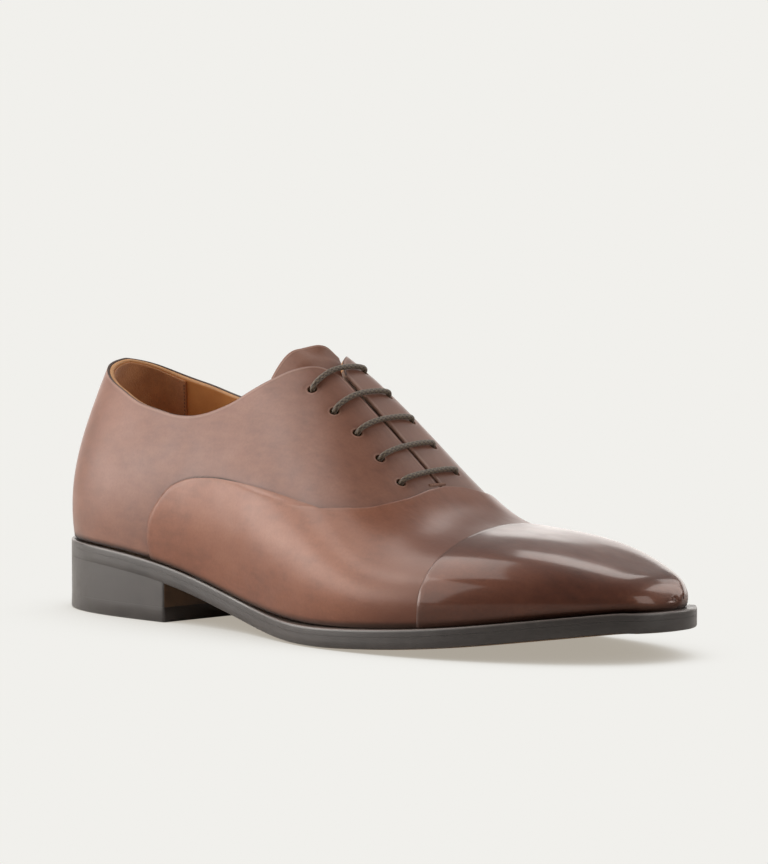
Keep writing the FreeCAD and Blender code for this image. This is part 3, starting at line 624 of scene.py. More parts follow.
def upper_leather(name, base, deep, pale, roughness, coat, wet, creases=0.0, fold_highlight=0.45, sheen=0.0,
                  edge_shadow=0.0, level=0.3, glow=(1.0, 1.0, 1.0)):
    """Hand-finished calf: mottled colour, fine grain, wax coat.

    The pieces' own attributes shape it: "burnish" darkens it, for burnishing and for painted shade,
    "edge" is the distance from the border, and "dark" is painted shade in the seams and along the welt."""
    n = Nodes(name)
    spot = n.place()
    cloud = n.noise(spot, 42.0, 5.0, 0.65)
    streak = n.noise(n.stretched((30.0, 90.0, 90.0)), 3.0, 3.0, 0.55)
    blend = n.math("ADD", n.math("MULTIPLY", cloud, 0.6), n.math("MULTIPLY", streak, 0.4))
    color = n.ramp(blend, [(0.22, deep), (0.50, base), (0.70, pale)])
    color = n.mix(n.fall(n.noise(spot, 900.0, 2.0), 0.35, 0.7, 0.0, 0.18), color, deep)
    # the burnish attribute: burnishing darker near the seams and the facing, and painted shade that
    # darkens the vamp before the cap and the cap's lower sides
    color = n.mix(n.attribute("burnish"), color, deep)
    bump = grain_bump(n, spot, creases=creases)
    color, bump = seam_lines(n, n.attribute("edge"), color, fold_highlight, edge_shadow, bump)
    # dark lays painted shade into the colour, in the seams and along the welt, and takes the coat off
    # there
    dark = n.attribute("dark")
    color = n.mix(dark, color, (0.010, 0.005, 0.004))
    shine = n.fall(n.noise(spot, 60.0, 3.0), 0.3, 0.7, roughness - 0.05, roughness + 0.07)
    waxed = n.math("MULTIPLY", n.math("SUBTRACT", 1.0, dark), coat)
    n.set(Base_Color=color, Roughness=shine, Normal=bump, Coat_Weight=waxed, Coat_Roughness=wet)
    n.set(Sheen_Weight=sheen, Sheen_Roughness=0.4, Specular_IOR_Level=level, Specular_Tint=glow)
    return n.material


def plain_leather(name, base, deep, roughness, pore=1100.0, depth=0.00005, coat=0.0):
    n = Nodes(name)
    spot = n.place()
    color = n.ramp(n.noise(spot, 70.0, 4.0, 0.6), [(0.3, deep), (0.7, base)])
    color = n.mix(n.fall(n.noise(spot, 1300.0, 2.0), 0.4, 0.75, 0.0, 0.3), color, deep)
    n.set(Base_Color=color, Roughness=roughness, Normal=grain_bump(n, spot, pore, depth))
    n.set(Coat_Weight=coat)
    return n.material


def suede(name, base, deep):
    n = Nodes(name)
    spot = n.place()
    color = n.ramp(n.noise(spot, 120.0, 5.0, 0.7), [(0.3, deep), (0.7, base)])
    nap = n.noise(n.stretched((1.0, 1.0, 0.5)), 2200.0, 2.0, 0.7)
    color = n.mix(n.fall(nap, 0.3, 0.7, 0.0, 0.4), color, deep)
    n.set(Base_Color=color, Roughness=0.95, Normal=n.bump(nap, 0.00025), Sheen_Weight=0.35)
    return n.material


def edge_ink(name, base, worn, roughness=0.38):
    """Waxed and burnished leather edge: fine lines along the layers, and a pale grey on the arrises
    that stands for both rubbing and a painted highlight.
    """
    n = Nodes(name)
    spot = n.place()
    lines = n.noise(n.stretched((25.0, 25.0, 900.0)), 1.0, 3.0, 0.6)
    dust = n.noise(spot, 160.0, 4.0, 0.65)
    color = n.ramp(n.math("ADD", n.math("MULTIPLY", lines, 0.15), n.math("MULTIPLY", dust, 0.85)),
                   [(0.35, base), (0.75, worn)])
    # a pale grey on the rubbed arrises: worn leather and a painted highlight at once
    color = n.mix(n.attribute("rub"), color, (0.17, 0.145, 0.13))
    bump = n.bump(lines, 0.00002, 1.0, n.bump(n.noise(spot, 1400.0, 2.0), 0.00001))
    n.set(Base_Color=color, Roughness=n.fall(dust, 0.3, 0.7, roughness - 0.06, roughness + 0.1))
    n.set(Normal=bump, Coat_Weight=0.8, Coat_Roughness=0.34)
    return n.material


def sole_leather(name):
    """Oak-bark sole leather: pale tan, faint fibres and scuffs."""
    n = Nodes(name)
    spot = n.place()
    fibre = n.noise(n.stretched((120.0, 500.0, 500.0)), 1.0, 4.0, 0.6)
    color = n.ramp(fibre, [(0.25, (0.30, 0.17, 0.085)), (0.75, (0.44, 0.28, 0.16))])
    color = n.mix(n.fall(n.noise(spot, 45.0, 3.0), 0.45, 0.75, 0.0, 0.35), color, (0.24, 0.13, 0.07))
    n.set(Base_Color=color, Roughness=0.5, Normal=n.bump(fibre, 0.00006), Coat_Weight=0.15)
    return n.material


def rubber(name):
    n = Nodes(name)
    spot = n.place()
    speck = n.noise(spot, 700.0, 3.0, 0.6)
    color = n.ramp(speck, [(0.3, (0.020, 0.017, 0.015)), (0.8, (0.048, 0.040, 0.036))])
    n.set(Base_Color=color, Roughness=0.55, Normal=n.bump(speck, 0.00005))
    return n.material


def waxed_cord(name):
    """Round waxed cotton lace; the braid itself is in the mesh, and painted shade darkens it down
    between the strands.
    """
    n = Nodes(name)
    spot = n.place()
    strand = n.attribute("strand")
    # from dark in the gaps between the strands to pale on their crowns: painted shade
    color = n.ramp(strand, [(0.0, (0.030, 0.020, 0.014)), (0.55, (0.13, 0.095, 0.062)),
                            (1.0, (0.23, 0.18, 0.125))])
    color = n.mix(n.fall(n.noise(spot, 900.0, 3.0), 0.35, 0.7, 0.0, 0.35), color, (0.07, 0.05, 0.035))
    n.set(Base_Color=color, Roughness=0.5, Normal=n.bump(n.noise(spot, 3000.0, 2.0), 0.00004))
    n.set(Sheen_Weight=0.15)
    return n.material


def metal(name, base, worn, roughness):
    n = Nodes(name)
    spot = n.place()
    patch = n.noise(spot, 250.0, 4.0, 0.6)
    n.set(Base_Color=n.ramp(patch, [(0.3, base), (0.75, worn)]), Metallic=1.0)
    n.set(Roughness=n.fall(patch, 0.3, 0.7, roughness, roughness + 0.15))
    n.set(Normal=n.bump(n.noise(n.stretched((80.0, 1200.0, 1200.0)), 1.0, 2.0), 0.00002))
    return n.material


def woven(name, base, deep):
    """Plain cotton weave."""
    n = Nodes(name)
    spot = n.place()
    warp = n.add("TexWave", {"Vector": spot, "Scale": 420.0}, bands_direction="X").outputs["Fac"]
    weft = n.add("TexWave", {"Vector": spot, "Scale": 420.0}, bands_direction="Y").outputs["Fac"]
    cross = n.math("MAXIMUM", warp, weft)
    n.set(Base_Color=n.ramp(cross, [(0.2, deep), (0.9, base)]), Roughness=0.9)
    n.set(Normal=n.bump(cross, 0.0001))
    return n.material


def crumbs(name, base, deep):
    """Cork paste or leather board."""
    n = Nodes(name)
    spot = n.place()
    cells = n.add("TexVoronoi", {"Vector": spot, "Scale": 600.0}).outputs["Distance"]
    color = n.ramp(n.math("ADD", cells, n.noise(spot, 300.0, 3.0)), [(0.4, base), (1.2, deep)])
    n.set(Base_Color=color, Roughness=0.9, Normal=n.bump(cells, 0.0002))
    return n.material


QUARTER_SKIN = upper_leather("quarter_calf", (0.235, 0.088, 0.047), (0.135, 0.044, 0.021),
                             (0.285, 0.116, 0.068), 0.50, 0.85, 0.42, creases=0.0003, fold_highlight=0.4,
                             sheen=0.08)
VAMP_SKIN = upper_leather("vamp_calf", (0.225, 0.075, 0.037), (0.105, 0.027, 0.012),
                          (0.270, 0.098, 0.050), 0.44, 0.60, 0.26, creases=0.0002, fold_highlight=0.1,
                          sheen=0.03, edge_shadow=1.0, level=0.7, glow=(1.0, 0.58, 0.42))
CAP_SKIN = upper_leather("cap_calf", (0.078, 0.0200, 0.0095), (0.026, 0.0062, 0.0036),
                         (0.120, 0.035, 0.017), 0.36, 0.76, 0.12, fold_highlight=0.14, edge_shadow=1.0, level=0.75,
                         glow=(1.0, 0.48, 0.32))
TONGUE_SKIN = upper_leather("tongue_calf", (0.215, 0.088, 0.052), (0.150, 0.058, 0.034),
                            (0.240, 0.108, 0.066), 0.55, 0.5, 0.5, creases=0.0003)
CUT_EDGE = plain_leather("cut_edge", (0.075, 0.034, 0.020), (0.040, 0.017, 0.010), 0.5)
RAW_EDGE = plain_leather("raw_edge", (0.40, 0.23, 0.17), (0.26, 0.14, 0.10), 0.7, depth=0.0001)
FLESH_SIDE = suede("flesh_side", (0.26, 0.16, 0.11), (0.18, 0.10, 0.065))
LINING_SKIN = plain_leather("lining_calf", (0.760, 0.360, 0.125), (0.600, 0.255, 0.080), 0.5)
LINING_EDGE = plain_leather("lining_edge", (0.62, 0.34, 0.16), (0.48, 0.24, 0.10), 0.7)
GRIP_SUEDE = suede("grip_suede", (0.62, 0.290, 0.120), (0.42, 0.180, 0.070))
EDGE_INK = edge_ink("edge_ink", (0.017, 0.012, 0.010), (0.034, 0.026, 0.022))
BREAST_INK = edge_ink("breast_ink", (0.090, 0.050, 0.026), (0.150, 0.090, 0.052), 0.5)
SOLE_LEATHER = sole_leather("sole_leather")
RUBBER = rubber("top_piece_rubber")
CORD = waxed_cord("lace_cord")
TIP = plain_leather("lace_tip", (0.11, 0.085, 0.06), (0.06, 0.045, 0.03), 0.3, coat=0.6)
BRASS = metal("eyelet_brass", (0.42, 0.30, 0.14), (0.22, 0.15, 0.08), 0.32)
STEEL = metal("shank_steel", (0.42, 0.43, 0.45), (0.30, 0.31, 0.33), 0.3)
COTTON = woven("backing_cotton", (0.70, 0.66, 0.56), (0.42, 0.38, 0.30))
CORK = crumbs("cork_paste", (0.30, 0.17, 0.085), (0.13, 0.065, 0.03))
BOARD = crumbs("leather_board", (0.42, 0.29, 0.18), (0.26, 0.16, 0.09))
INSOLE = plain_leather("insole_leather", (0.46, 0.29, 0.17), (0.34, 0.19, 0.10), 0.6)
SOCK = plain_leather("sock_leather", (0.42, 0.19, 0.08), (0.30, 0.12, 0.05), 0.55)
THREAD = plain_leather("thread", (0.22, 0.12, 0.06), (0.12, 0.060, 0.030), 0.55)
TACK_THREAD = plain_leather("tack_thread", (0.40, 0.22, 0.15), (0.22, 0.10, 0.065), 0.5)


# ---- where the pieces go ----------------------------------------------------------------------------
def stands_for(nodes):
    if nodes:
        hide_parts(*nodes)


def rides(piece, body, slot, *nodes):
    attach(piece, body)
    stands_for(nodes)


def bends(piece, slot, *nodes, bend=UPPER_BEND):
    """The piece crosses the ball: its placement is baked into its mesh, and the CAD nodes it stands for
    are hidden.
    """
    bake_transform(piece)
    stands_for(nodes)


def to_curve(points, curve):
    """Distance in mm from each point to the nearest of a curve's points."""
    flat = points.reshape(-1, 3)
    best = np.full(len(flat), 1e9)
    for k in range(0, len(curve), 50):
        gap = np.linalg.norm(flat[:, None, :] - curve[None, k:k + 50, :], axis=-1)
        best = np.minimum(best, gap.min(1))
    return best.reshape(points.shape[:-1])


# ---- the upper --------------------------------------------------------------------------------------
def hole_dents(holes):
    """The leather is drawn in a little round each eyelet."""
    centres = np.stack([point(u, v) for u, v in holes])

    def relief(u, v, s, t):
        gap = np.linalg.norm(point(u, v)[..., None, :] - centres, axis=-1).min(-1)
        return -0.30 * np.exp(-(gap / 2.6) ** 2)
    return relief


def punch(piece, holes, radius):
    """Cuts the eyelet holes square to the leather."""
    for k, (u, v) in enumerate(holes):
        centre, axis = point(u, v), normal(np.array(u), np.array(v))
        side = unit(np.cross(axis, (1.0, 0.2, 0.1)))
        other = np.cross(axis, side)
        turn = np.linspace(0, 2 * math.pi, 28, endpoint=False)[:, None]
        ring = side * np.cos(turn) * radius + other * np.sin(turn) * radius
        verts = np.concatenate([centre + ring - axis * 5, centre + ring + axis * 3])
        faces = [list(range(27, -1, -1)), list(range(28, 56))]
        faces += [[i, (i + 1) % 28, 28 + (i + 1) % 28, 28 + i] for i in range(28)]
        cutter = build("cutter", verts, faces, [RAW_EDGE])
        cut = piece.modifiers.new("hole", "BOOLEAN")
        cut.object = cutter
        cut.solver = "EXACT"
        graph = bpy.context.evaluated_depsgraph_get()
        mesh = bpy.data.meshes.new_from_object(piece.evaluated_get(graph))
        piece.modifiers.clear()
        piece.data = mesh
        bpy.data.objects.remove(cutter)
    mesh.polygons.foreach_set("use_smooth", [True] * len(mesh.polygons))
    mesh.set_sharp_from_angle(angle=math.radians(50))


def galosh_line():
    """The vamp's back edge, over the quarters."""
    u, v = both_sides(GALOSH_SEAM, np.linspace(0, 1, 500))
    return at(u, v, np.full(500, VAMP[0]))


def cap_line(offset):
    seam_v = np.linspace(0, 1, 400)
    return at(cap_seam_u(seam_v), seam_v, np.full(400, offset))


def welt_shade(outer):
    """Painted shade where the upper meets the welt: full up to 0.9 mm above the feather edge, gone 3.2
    mm above it.
    """
    return 1.0 - smooth((outer[..., 2] - feather_height(outer[..., 0]) - 0.9) / 2.3)


def under_seam(gap, width=0.8, depth=0.9):
    """Shade on a piece where the next one is laid over it."""
    return depth * (1.0 - smooth((gap - 0.15) / width))


def quarter(name, patch, holes):
    edge_s = np.linspace(0, 1, 300)
    top = at(*patch(edge_s, np.ones(300)), np.zeros(300))
    front = at(*patch(np.ones(300), edge_s), np.zeros(300))
    border = np.concatenate([top, front])
    seam = galosh_line()
    centres = np.stack([point(u, v) for u, v in holes])

    def edges(u, v, s, t, outer):
        gap = to_curve(outer, seam)
        by_holes = np.linalg.norm(outer[..., None, :] - centres, axis=-1).min(-1) - EYELET_HOLE_R
        worn = 0.45 * (1.0 - smooth(to_curve(outer, front) / 32.0)) + 0.4 * (1.0 - smooth(gap / 7.0))
        return {"edge": np.minimum(to_curve(outer, border), np.maximum(by_holes, 0.0) + 0.3),
                "dark": np.maximum(welt_shade(outer), under_seam(gap)),
                "burnish": np.clip(worn, 0.0, 0.8)}
    piece = sheet(name + "_leather", patch, QUARTER[0], QUARTER[1], 210, 84,
                  [QUARTER_SKIN, CUT_EDGE, FLESH_SIDE, RAW_EDGE], hole_dents(holes), edges, 0.3)
    punch(piece, holes, EYELET_HOLE_R)
    rides(piece, "rearfoot", "upper_leather", name)


def quarters():
    quarter("quarter_lateral", quarter_patch(QUARTER_LOWER_EDGE), EYELETS)
    quarter("quarter_medial", medial_quarter_patch(QUARTER_LOWER_EDGE), EYELETS_MEDIAL)


def turned_over(u, v, s, t):
    """The lining comes up to the back of the quarter along the topline."""
    return 0.93 * smooth((t - 0.93) / 0.06) * smooth((0.985 - s) / 0.05)


def linings():
    for side, make, holes in (("lateral", quarter_patch, EYELETS),
                              ("medial", medial_quarter_patch, EYELETS_MEDIAL)):
        name = "quarter_lining_" + side
        patch = make(LINING_LOWER_EDGE)
        piece = sheet(name + "_leather", patch, LINING_PLY[0], LINING_PLY[1], 150, 90,
                      [LINING_SKIN, LINING_EDGE, LINING_SKIN, FLESH_SIDE], turned_over, None, 0.25)
        down = np.linspace(0, 1, 120)
        front = at(*patch(np.ones(120), down), np.full(120, LINING_PLY[1]))
        middles = np.array([face.center for face in piece.data.polygons]) * 1000.0 + CENTRE
        for face, gap in zip(piece.data.polygons, to_curve(middles, front)):
            if gap < 5.0:
                face.material_index = 3
        punch(piece, holes, LINING_HOLE_R)
        rides(piece, "rearfoot", "lining_leather", name)
    cover = heel_patch(0.105, 0.003, 0.035)
    grip = sheet("heel_grip_suede", cover, GRIP_PLY[0], GRIP_PLY[1], 60, 60,
                 [GRIP_SUEDE, GRIP_SUEDE, GRIP_SUEDE], None, None, 0.25)
    rides(grip, "rearfoot", "grip_suede", "heel_grip")
    t = np.linspace(0.05, 0.985, 120)
    for name, s in (("lateral", 0.012), ("medial", 0.988)):
        u, v = cover(np.full(120, s), t)
        places = at(u, v, np.full(120, GRIP_PLY[0] - 0.02))
        stitch_row("grip_stitches_" + name, places, -normal(u, v), 1.6, 1.0, 0.2, THREAD,
                   "rearfoot", "grip_suede")


def front_of_upper():
    galosh = galosh_line()
    vamp_front = cap_line(VAMP[1])
    cap_back = cap_line(CAP[0])

    def skived(border, depth, width):
        """The leather is pared thin towards a seam."""
        def relief(u, v, s, t):
            gap = to_curve(at(u, v, np.full(u.shape, border[1])), border[0])
            return -depth * (1.0 - smooth(gap / width))
        return relief

    def vamp_edges(u, v, s, t, outer):
        gap = to_curve(outer, vamp_front)
        near_cap = 1.0 - smooth(gap / 46.0)
        low = 1.0 - smooth(np.minimum(v, 1.0 - v) / 0.07)
        shade = np.maximum(welt_shade(outer), under_seam(gap, 0.7))
        # burnish here is mostly painted shade: darker before the cap and towards the feather edge
        return {"edge": to_curve(outer, galosh), "dark": shade,
                "burnish": np.clip(0.95 * near_cap + 0.2 * low, 0, 1)}

    def cap_edges(u, v, s, t, outer):
        gap = to_curve(outer, cap_back)
        low = 1.0 - smooth(np.minimum(v, 1.0 - v) / 0.12)
        # burnish here: painted shade on the cap's lower sides, burnishing near its seam
        return {"edge": gap, "dark": welt_shade(outer),
                "burnish": np.clip(0.5 * low + 0.3 * (1 - smooth(gap / 9.0)), 0, 1)}
    vamp = sheet("vamp_leather", vamp_patch(GALOSH_SEAM, VAMP_UNDER_CAP_U), VAMP[0], VAMP[1],
                 260, 110, [VAMP_SKIN, CUT_EDGE, FLESH_SIDE], skived((galosh, VAMP[1]), 0.4, 1.6),
                 vamp_edges, 0.2)
    bends(vamp, "upper_leather", "vamp")
    cap = sheet("toe_cap_leather", toe_patch, CAP[0], CAP[1], 150, 90,
                [CAP_SKIN, CUT_EDGE, FLESH_SIDE], skived((cap_back, CAP[1]), 0.5, 1.6), cap_edges, 0.2)
    rides(cap, "forepart", "toe_leather", "toe_cap")
    inside = vamp_patch(BACKING_REAR_EDGE, VAMP_UNDER_CAP_U)
    backing = sheet("vamp_backing_cloth", inside, BACKING[0], BACKING[1], 120, 30, [COTTON])
    bends(backing, "backing_cloth", "vamp_backing")
    lining = sheet("vamp_lining_leather", inside, FRONT_LINING[0], FRONT_LINING[1], 120, 30,
                   [LINING_SKIN, LINING_EDGE, LINING_SKIN])
    bends(lining, "lining_leather", "vamp_lining")


def tongue():
    def below(depth):
        return lambda u, v: tongue_drop(u, v) - depth

    def edges(u, v, s, t, outer):
        sides = np.minimum(run_length(outer, 1), run_length(outer, 1, True))
        return {"edge": np.minimum(run_length(outer, 0), sides)}
    face = sheet("tongue_leather", tongue_patch, below(TONGUE_THICK), tongue_drop, 90, 60,
                 [TONGUE_SKIN, RAW_EDGE, FLESH_SIDE], None, edges)
    rides(face, "tongue_body", "upper_leather", "tongue")
    top = TONGUE_THICK + PLY_GAP
    back = sheet("tongue_lining_leather", tongue_patch, below(top + TONGUE_LINING_THICK), below(top),
                 60, 40, [FLESH_SIDE, FLESH_SIDE, LINING_SKIN])
    rides(back, "tongue_body", "lining_leather", "tongue_lining")


# ---- lace -------------------------------------------------------------------------------------------
BAR_STEPS = (0.2, 0.4, 0.6, 0.8)
TURN_IN = 0.027                # how far inside the row of holes the lace runs behind the facing
LACE_STEP = 0.22
LACE_SIDES = 22
BRAID_STRANDS = 4
BRAID_TWIST = 2.6              # radians for each millimetre


def bar(row, to_medial):
    a, b = EYELETS[row], EYELETS_MEDIAL[row]
    if not to_medial:
        a, b = b, a
    pts = [(a[0], a[1], LACE_IN), (a[0], a[1], LACE_OUT)]
    for f in BAR_STEPS:
        pts.append((a[0] + f * (b[0] - a[0]), a[1] + f * (b[1] - a[1]), LACE_OUT))
    return pts + [(b[0], b[1], LACE_OUT), (b[0], b[1], LACE_IN)]


def lace_route():
    """(u, v, offset) along the lace, from one hidden end to the other."""
    tail_a = [
        (0.572, 0.040, -7.0), (0.546, 0.038, -7.0), (0.522, 0.040, -7.0), (0.492, 0.055, -6.6),
        (0.472, 0.092, -6.0), (0.463, 0.140, -5.4), (0.461, 0.195, -5.0), (0.462, 0.255, -4.7),
    ]
    tail_b = [
        (0.427, 0.690, -4.7), (0.425, 0.755, -5.0), (0.425, 0.820, -5.4), (0.428, 0.870, -5.8),
        (0.438, 0.915, -6.4), (0.460, 0.945, -6.8), (0.490, 0.958, -7.0), (0.522, 0.960, -7.0),
        (0.548, 0.962, -7.0), (0.574, 0.960, -7.0),
    ]
    route = tail_a + bar(1, True)
    route += [(0.475, 0.614 - TURN_IN, LACE_IN), (0.500, 0.616 - TURN_IN, LACE_IN)]
    route += bar(3, False) + bar(4, True)
    route += [(0.532, 0.623 + TURN_IN, LACE_IN), (0.504, 0.620 + TURN_IN, LACE_IN)]
    route += bar(2, False)
    route += [(0.480, 0.333 - TURN_IN, LACE_IN), (0.450, 0.326 - TURN_IN, LACE_IN)]
    return np.array(route + bar(0, True) + tail_b)


def smooth_line(points, per_run=14):
    """Points along a NURBS line, read from the curve itself."""
    curve = bpy.data.curves.new("line", "CURVE")
    curve.dimensions = "3D"
    curve.resolution_u = per_run
    spline = curve.splines.new("NURBS")
    spline.points.add(len(points) - 1)
    for p, q in zip(spline.points, points):
        p.co = (*q, 1.0)
    spline.order_u = 3
    spline.use_endpoint_u = True
    holder = bpy.data.objects.new("line", curve)
    bpy.context.scene.collection.objects.link(holder)
    graph = bpy.context.evaluated_depsgraph_get()
    mesh = bpy.data.meshes.new_from_object(holder.evaluated_get(graph))
    line = np.array([v.co for v in mesh.vertices])
    bpy.data.objects.remove(holder)
    return line


def resample(line, step):
    return even(line, max(4, int(round(distances(line)[-1] / step))) + 1)


def carried_frames(line):
    """Two directions square to the line that don't twist along it."""
    tangent = unit(np.gradient(line, axis=0))
    side = unit(np.cross(tangent[0], (0.3, 0.2, 1.0)))
    sides = []
    for t in tangent:
        side = unit(side - t * np.dot(side, t))
        sides.append(side)
    sides = np.array(sides)
    return sides, np.cross(tangent, sides)


def lace():
    """A braided round lace: the strands cross in the tube's own surface."""
    route = lace_route()
    line = resample(smooth_line(at(route[:, 0], route[:, 1], route[:, 2])), LACE_STEP)
    side, up = carried_frames(line)
    rows = len(line)
    turn = np.linspace(0, 2 * math.pi, LACE_SIDES, endpoint=False)
    twist = np.arange(rows)[:, None] * LACE_STEP * BRAID_TWIST
    over = np.cos(twist) * np.cos(BRAID_STRANDS * turn) > 0
    strand = np.where(over, np.cos(BRAID_STRANDS * turn + twist), np.cos(BRAID_STRANDS * turn - twist))
    strand = strand * 0.5 + 0.5
    radius = LACE_R * (0.94 + 0.09 * strand)
    ring = side[:, None, :] * np.cos(turn)[None, :, None] + up[:, None, :] * np.sin(turn)[None, :, None]
    verts = (line[:, None, :] + ring * radius[..., None]).reshape(-1, 3)
    faces = tube_faces(rows, LACE_SIDES)
    faces.append(list(range(LACE_SIDES - 1, -1, -1)))
    faces.append(list(range((rows - 1) * LACE_SIDES, rows * LACE_SIDES)))
    piece = build("lace_braid", verts, faces, [CORD], None, {"strand": strand.ravel()})
    rides(piece, "rearfoot", "lace_cotton", "lace")


# ---- the bottom -------------------------------------------------------------------------------------
SIDE_POINTS = 220
LIP_HEEL, LIP_FORE, LIP_TOE = 1.6, 4.3, 0.9
WAIST_X, TOE_X = 120.0, 230.0
WELT_TOP, WELT_BOTTOM = -0.05, -2.75
OUTSOLE_TOP, OUTSOLE_BOTTOM = -2.8, -7.7
WELT_INSIDE = -4.2
TREAD_TOP, HEEL_LIFT_TOP, HEEL_TOP = 6.0, 9.5, 13.0
HEEL_MIDDLE_Y = 3.4


def loop_normals(loop):
    tangent = np.roll(loop, -1, 0) - np.roll(loop, 1, 0)
    return unit(np.stack([tangent[:, 1], -tangent[:, 0]], -1))


def join_sides(lateral, medial):
    """One loop: back of the heel, lateral side, toe, medial side."""
    return np.concatenate([even(lateral, SIDE_POINTS + 1), even(medial, SIDE_POINTS + 1)[1:-1][::-1]])


def soften(loop, times):
    """Each point moves halfway to the middle of its neighbours."""
    for _ in range(times):
        loop = 0.5 * loop + 0.25 * (np.roll(loop, 1, 0) + np.roll(loop, -1, 0))
    return loop


def lip(x):
    """How far the sole stands out past the feather edge: little at the heel, more further on."""
    fore = LIP_FORE * smooth((x - WAIST_X) / 70.0)
    return LIP_HEEL + fore + LIP_TOE * smooth((x - TOE_X) / 50.0)


def sole_loop(grow=lip):
    """Plan line of the feather edge moved outwards; grow is a number or a function of x."""
    u = np.concatenate([np.linspace(0, 0.08, 120), np.linspace(0.08, 0.92, 300)[1:],
                        np.linspace(0.92, 1.0, 160)[1:]])
    loop = join_sides(point(u, 0 * u)[:, :2], point(u, 0 * u + 1)[:, :2])
    loop = soften(loop, 12)
    amount = grow(loop[:, 0]) if callable(grow) else grow
    moved = loop + loop_normals(loop) * np.reshape(amount, (-1, 1))
    half = SIDE_POINTS
    return join_sides(moved[:half + 1], np.concatenate([moved[:1], moved[half:][::-1]]))


def heel_loop():
    """The sole's plan line behind the breast, closed by the straight breast."""
    loop = sole_loop()
    half = SIDE_POINTS
    lateral = loop[:half + 1]
    medial = np.concatenate([loop[:1], loop[half:][::-1]])
    sides = []
    for side in (lateral, medial):
        kept = side[side[:, 0] < HEEL_BREAST_X]
        corner = [HEEL_BREAST_X, np.interp(HEEL_BREAST_X, side[:half // 2, 0], side[:half // 2, 1])]
        middle = [HEEL_BREAST_X, HEEL_MIDDLE_Y + CENTRE[1]]
        sides.append(np.concatenate([kept, [corner, middle]]))
    return soften(join_sides(*sides), 2)


def loft(name, rings, materials, kinds, rub, closed=False, across=10):
    """A body through plan rings of (points, heights); caps follow the first and last ring's heights,
    or the rings close on each other.  kinds gives each band's material, then the two caps'."""
    count = len(rings[0][0])
    verts = [np.column_stack([loop, z + 0 * loop[:, 0]]) for loop, z in rings]
    wear_and_highlight = [np.full(count, w) for w in rub]
    faces, kind = [], []
    idx = np.arange(count)
    pairs = list(zip(range(len(rings)), range(1, len(rings))))
    if closed:
        pairs.append((len(rings) - 1, 0))
    for band, (a, b) in enumerate(pairs):
        quads = np.stack([a * count + idx, a * count + np.roll(idx, -1),
                          b * count + np.roll(idx, -1), b * count + idx], -1)
        faces += quads.tolist()
        kind += [kinds[band]] * count
    start = count * len(rings)
    if not closed:
        half = count // 2
        for which, ring in ((0, 0), (1, len(rings) - 1)):
            loop, z = rings[ring]
            z = z + 0 * loop[:, 0]
            base = ring * count
            ids = [[base] * (across + 1)]
            for i in range(1, half):
                row = [base + i]
                for k in range(1, across):
                    f = k / across
                    p = (1 - f) * loop[i] + f * loop[count - i]
                    h = (1 - f) * z[i] + f * z[count - i]
                    verts.append(np.array([[p[0], p[1], h]]))
                    wear_and_highlight.append(np.zeros(1))
                    row.append(start)
                    start += 1
                ids.append(row + [base + count - i])
            ids.append([base + half] * (across + 1))
            for a, b in zip(ids, ids[1:]):
                for k in range(across):
                    quad = [a[k], a[k + 1], b[k + 1], b[k]]
                    face = [q for n, q in enumerate(quad) if q not in quad[:n]]
                    faces.append(face[::-1] if which == 1 else face)
                    kind.append(kinds[len(pairs) + which])
    piece = build(name, np.concatenate(verts), faces, materials, kind, {"rub": np.concatenate(wear_and_highlight)})
    piece.data.validate()
    piece.data.set_sharp_from_angle(angle=math.radians(33))
    return piece


def inset(loop, amount):
    """The plan line moved inwards."""
    return loop - loop_normals(loop) * np.reshape(amount, (-1, 1))


def over(loop, height):
    """Heights that follow the feather edge along the shoe."""
    return feather_height(loop[:, 0]) + height


def sole_pieces():
    """The welt and rand, and the outsole: each shape lists (plan line, height, how rubbed it is, which
    also sets its painted highlight).
    """
    outer = sole_loop()
    inner = sole_loop(WELT_INSIDE)
    # the welt's top arris and, below, the outsole's lower one are rubbed: paler from worn leather and
    # from a painted highlight
    shape = [(inner, WELT_TOP, 0.0), (inset(outer, 1.0), WELT_TOP, 0.0),
             (inset(outer, 0.5), WELT_TOP - 0.05, 0.5), (inset(outer, 0.18), WELT_TOP - 0.22, 0.8),
             (inset(outer, 0.03), WELT_TOP - 0.55, 0.3), (outer, WELT_TOP - 1.0, 0.0),
             (outer, WELT_BOTTOM, 0.0), (inset(outer, 2.0), WELT_BOTTOM, 0.0),
             (inner, WELT_BOTTOM, 0.0)]
    rings = [(loop, over(loop, z)) for loop, z, _ in shape]
    welt = loft("welt_and_rand", rings, [EDGE_INK], [0] * len(rings), [rub for _, _, rub in shape],
                closed=True)
    bends(welt, "edge_leather", "welt", "welt_forepart", "heel_rand", bend=SOLE_BEND)

    shape = [(inset(outer, 1.5), OUTSOLE_TOP, 0.0), (outer, OUTSOLE_TOP, 0.0), (outer, -4.6, 0.0),
             (outer, -6.5, 0.0), (inset(outer, 0.12), -6.95, 0.1), (inset(outer, 0.42), -7.2, 0.2),
             (inset(outer, 0.9), -7.3, 0.0), (inset(outer, 2.4), -7.58, 0.0),
             (inset(outer, 5.0), OUTSOLE_BOTTOM, 0.0)]
    rings = [(loop, over(loop, z)) for loop, z, _ in shape]
    sole = loft("outsole_leather", rings, [EDGE_INK, SOLE_LEATHER, CORK],
                [0, 0, 0, 0, 0, 0, 1, 1, 2, 1], [rub for _, _, rub in shape], across=24)
    bends(sole, "outsole_leather", "outsole", "outsole_forepart", bend=SOLE_BEND)


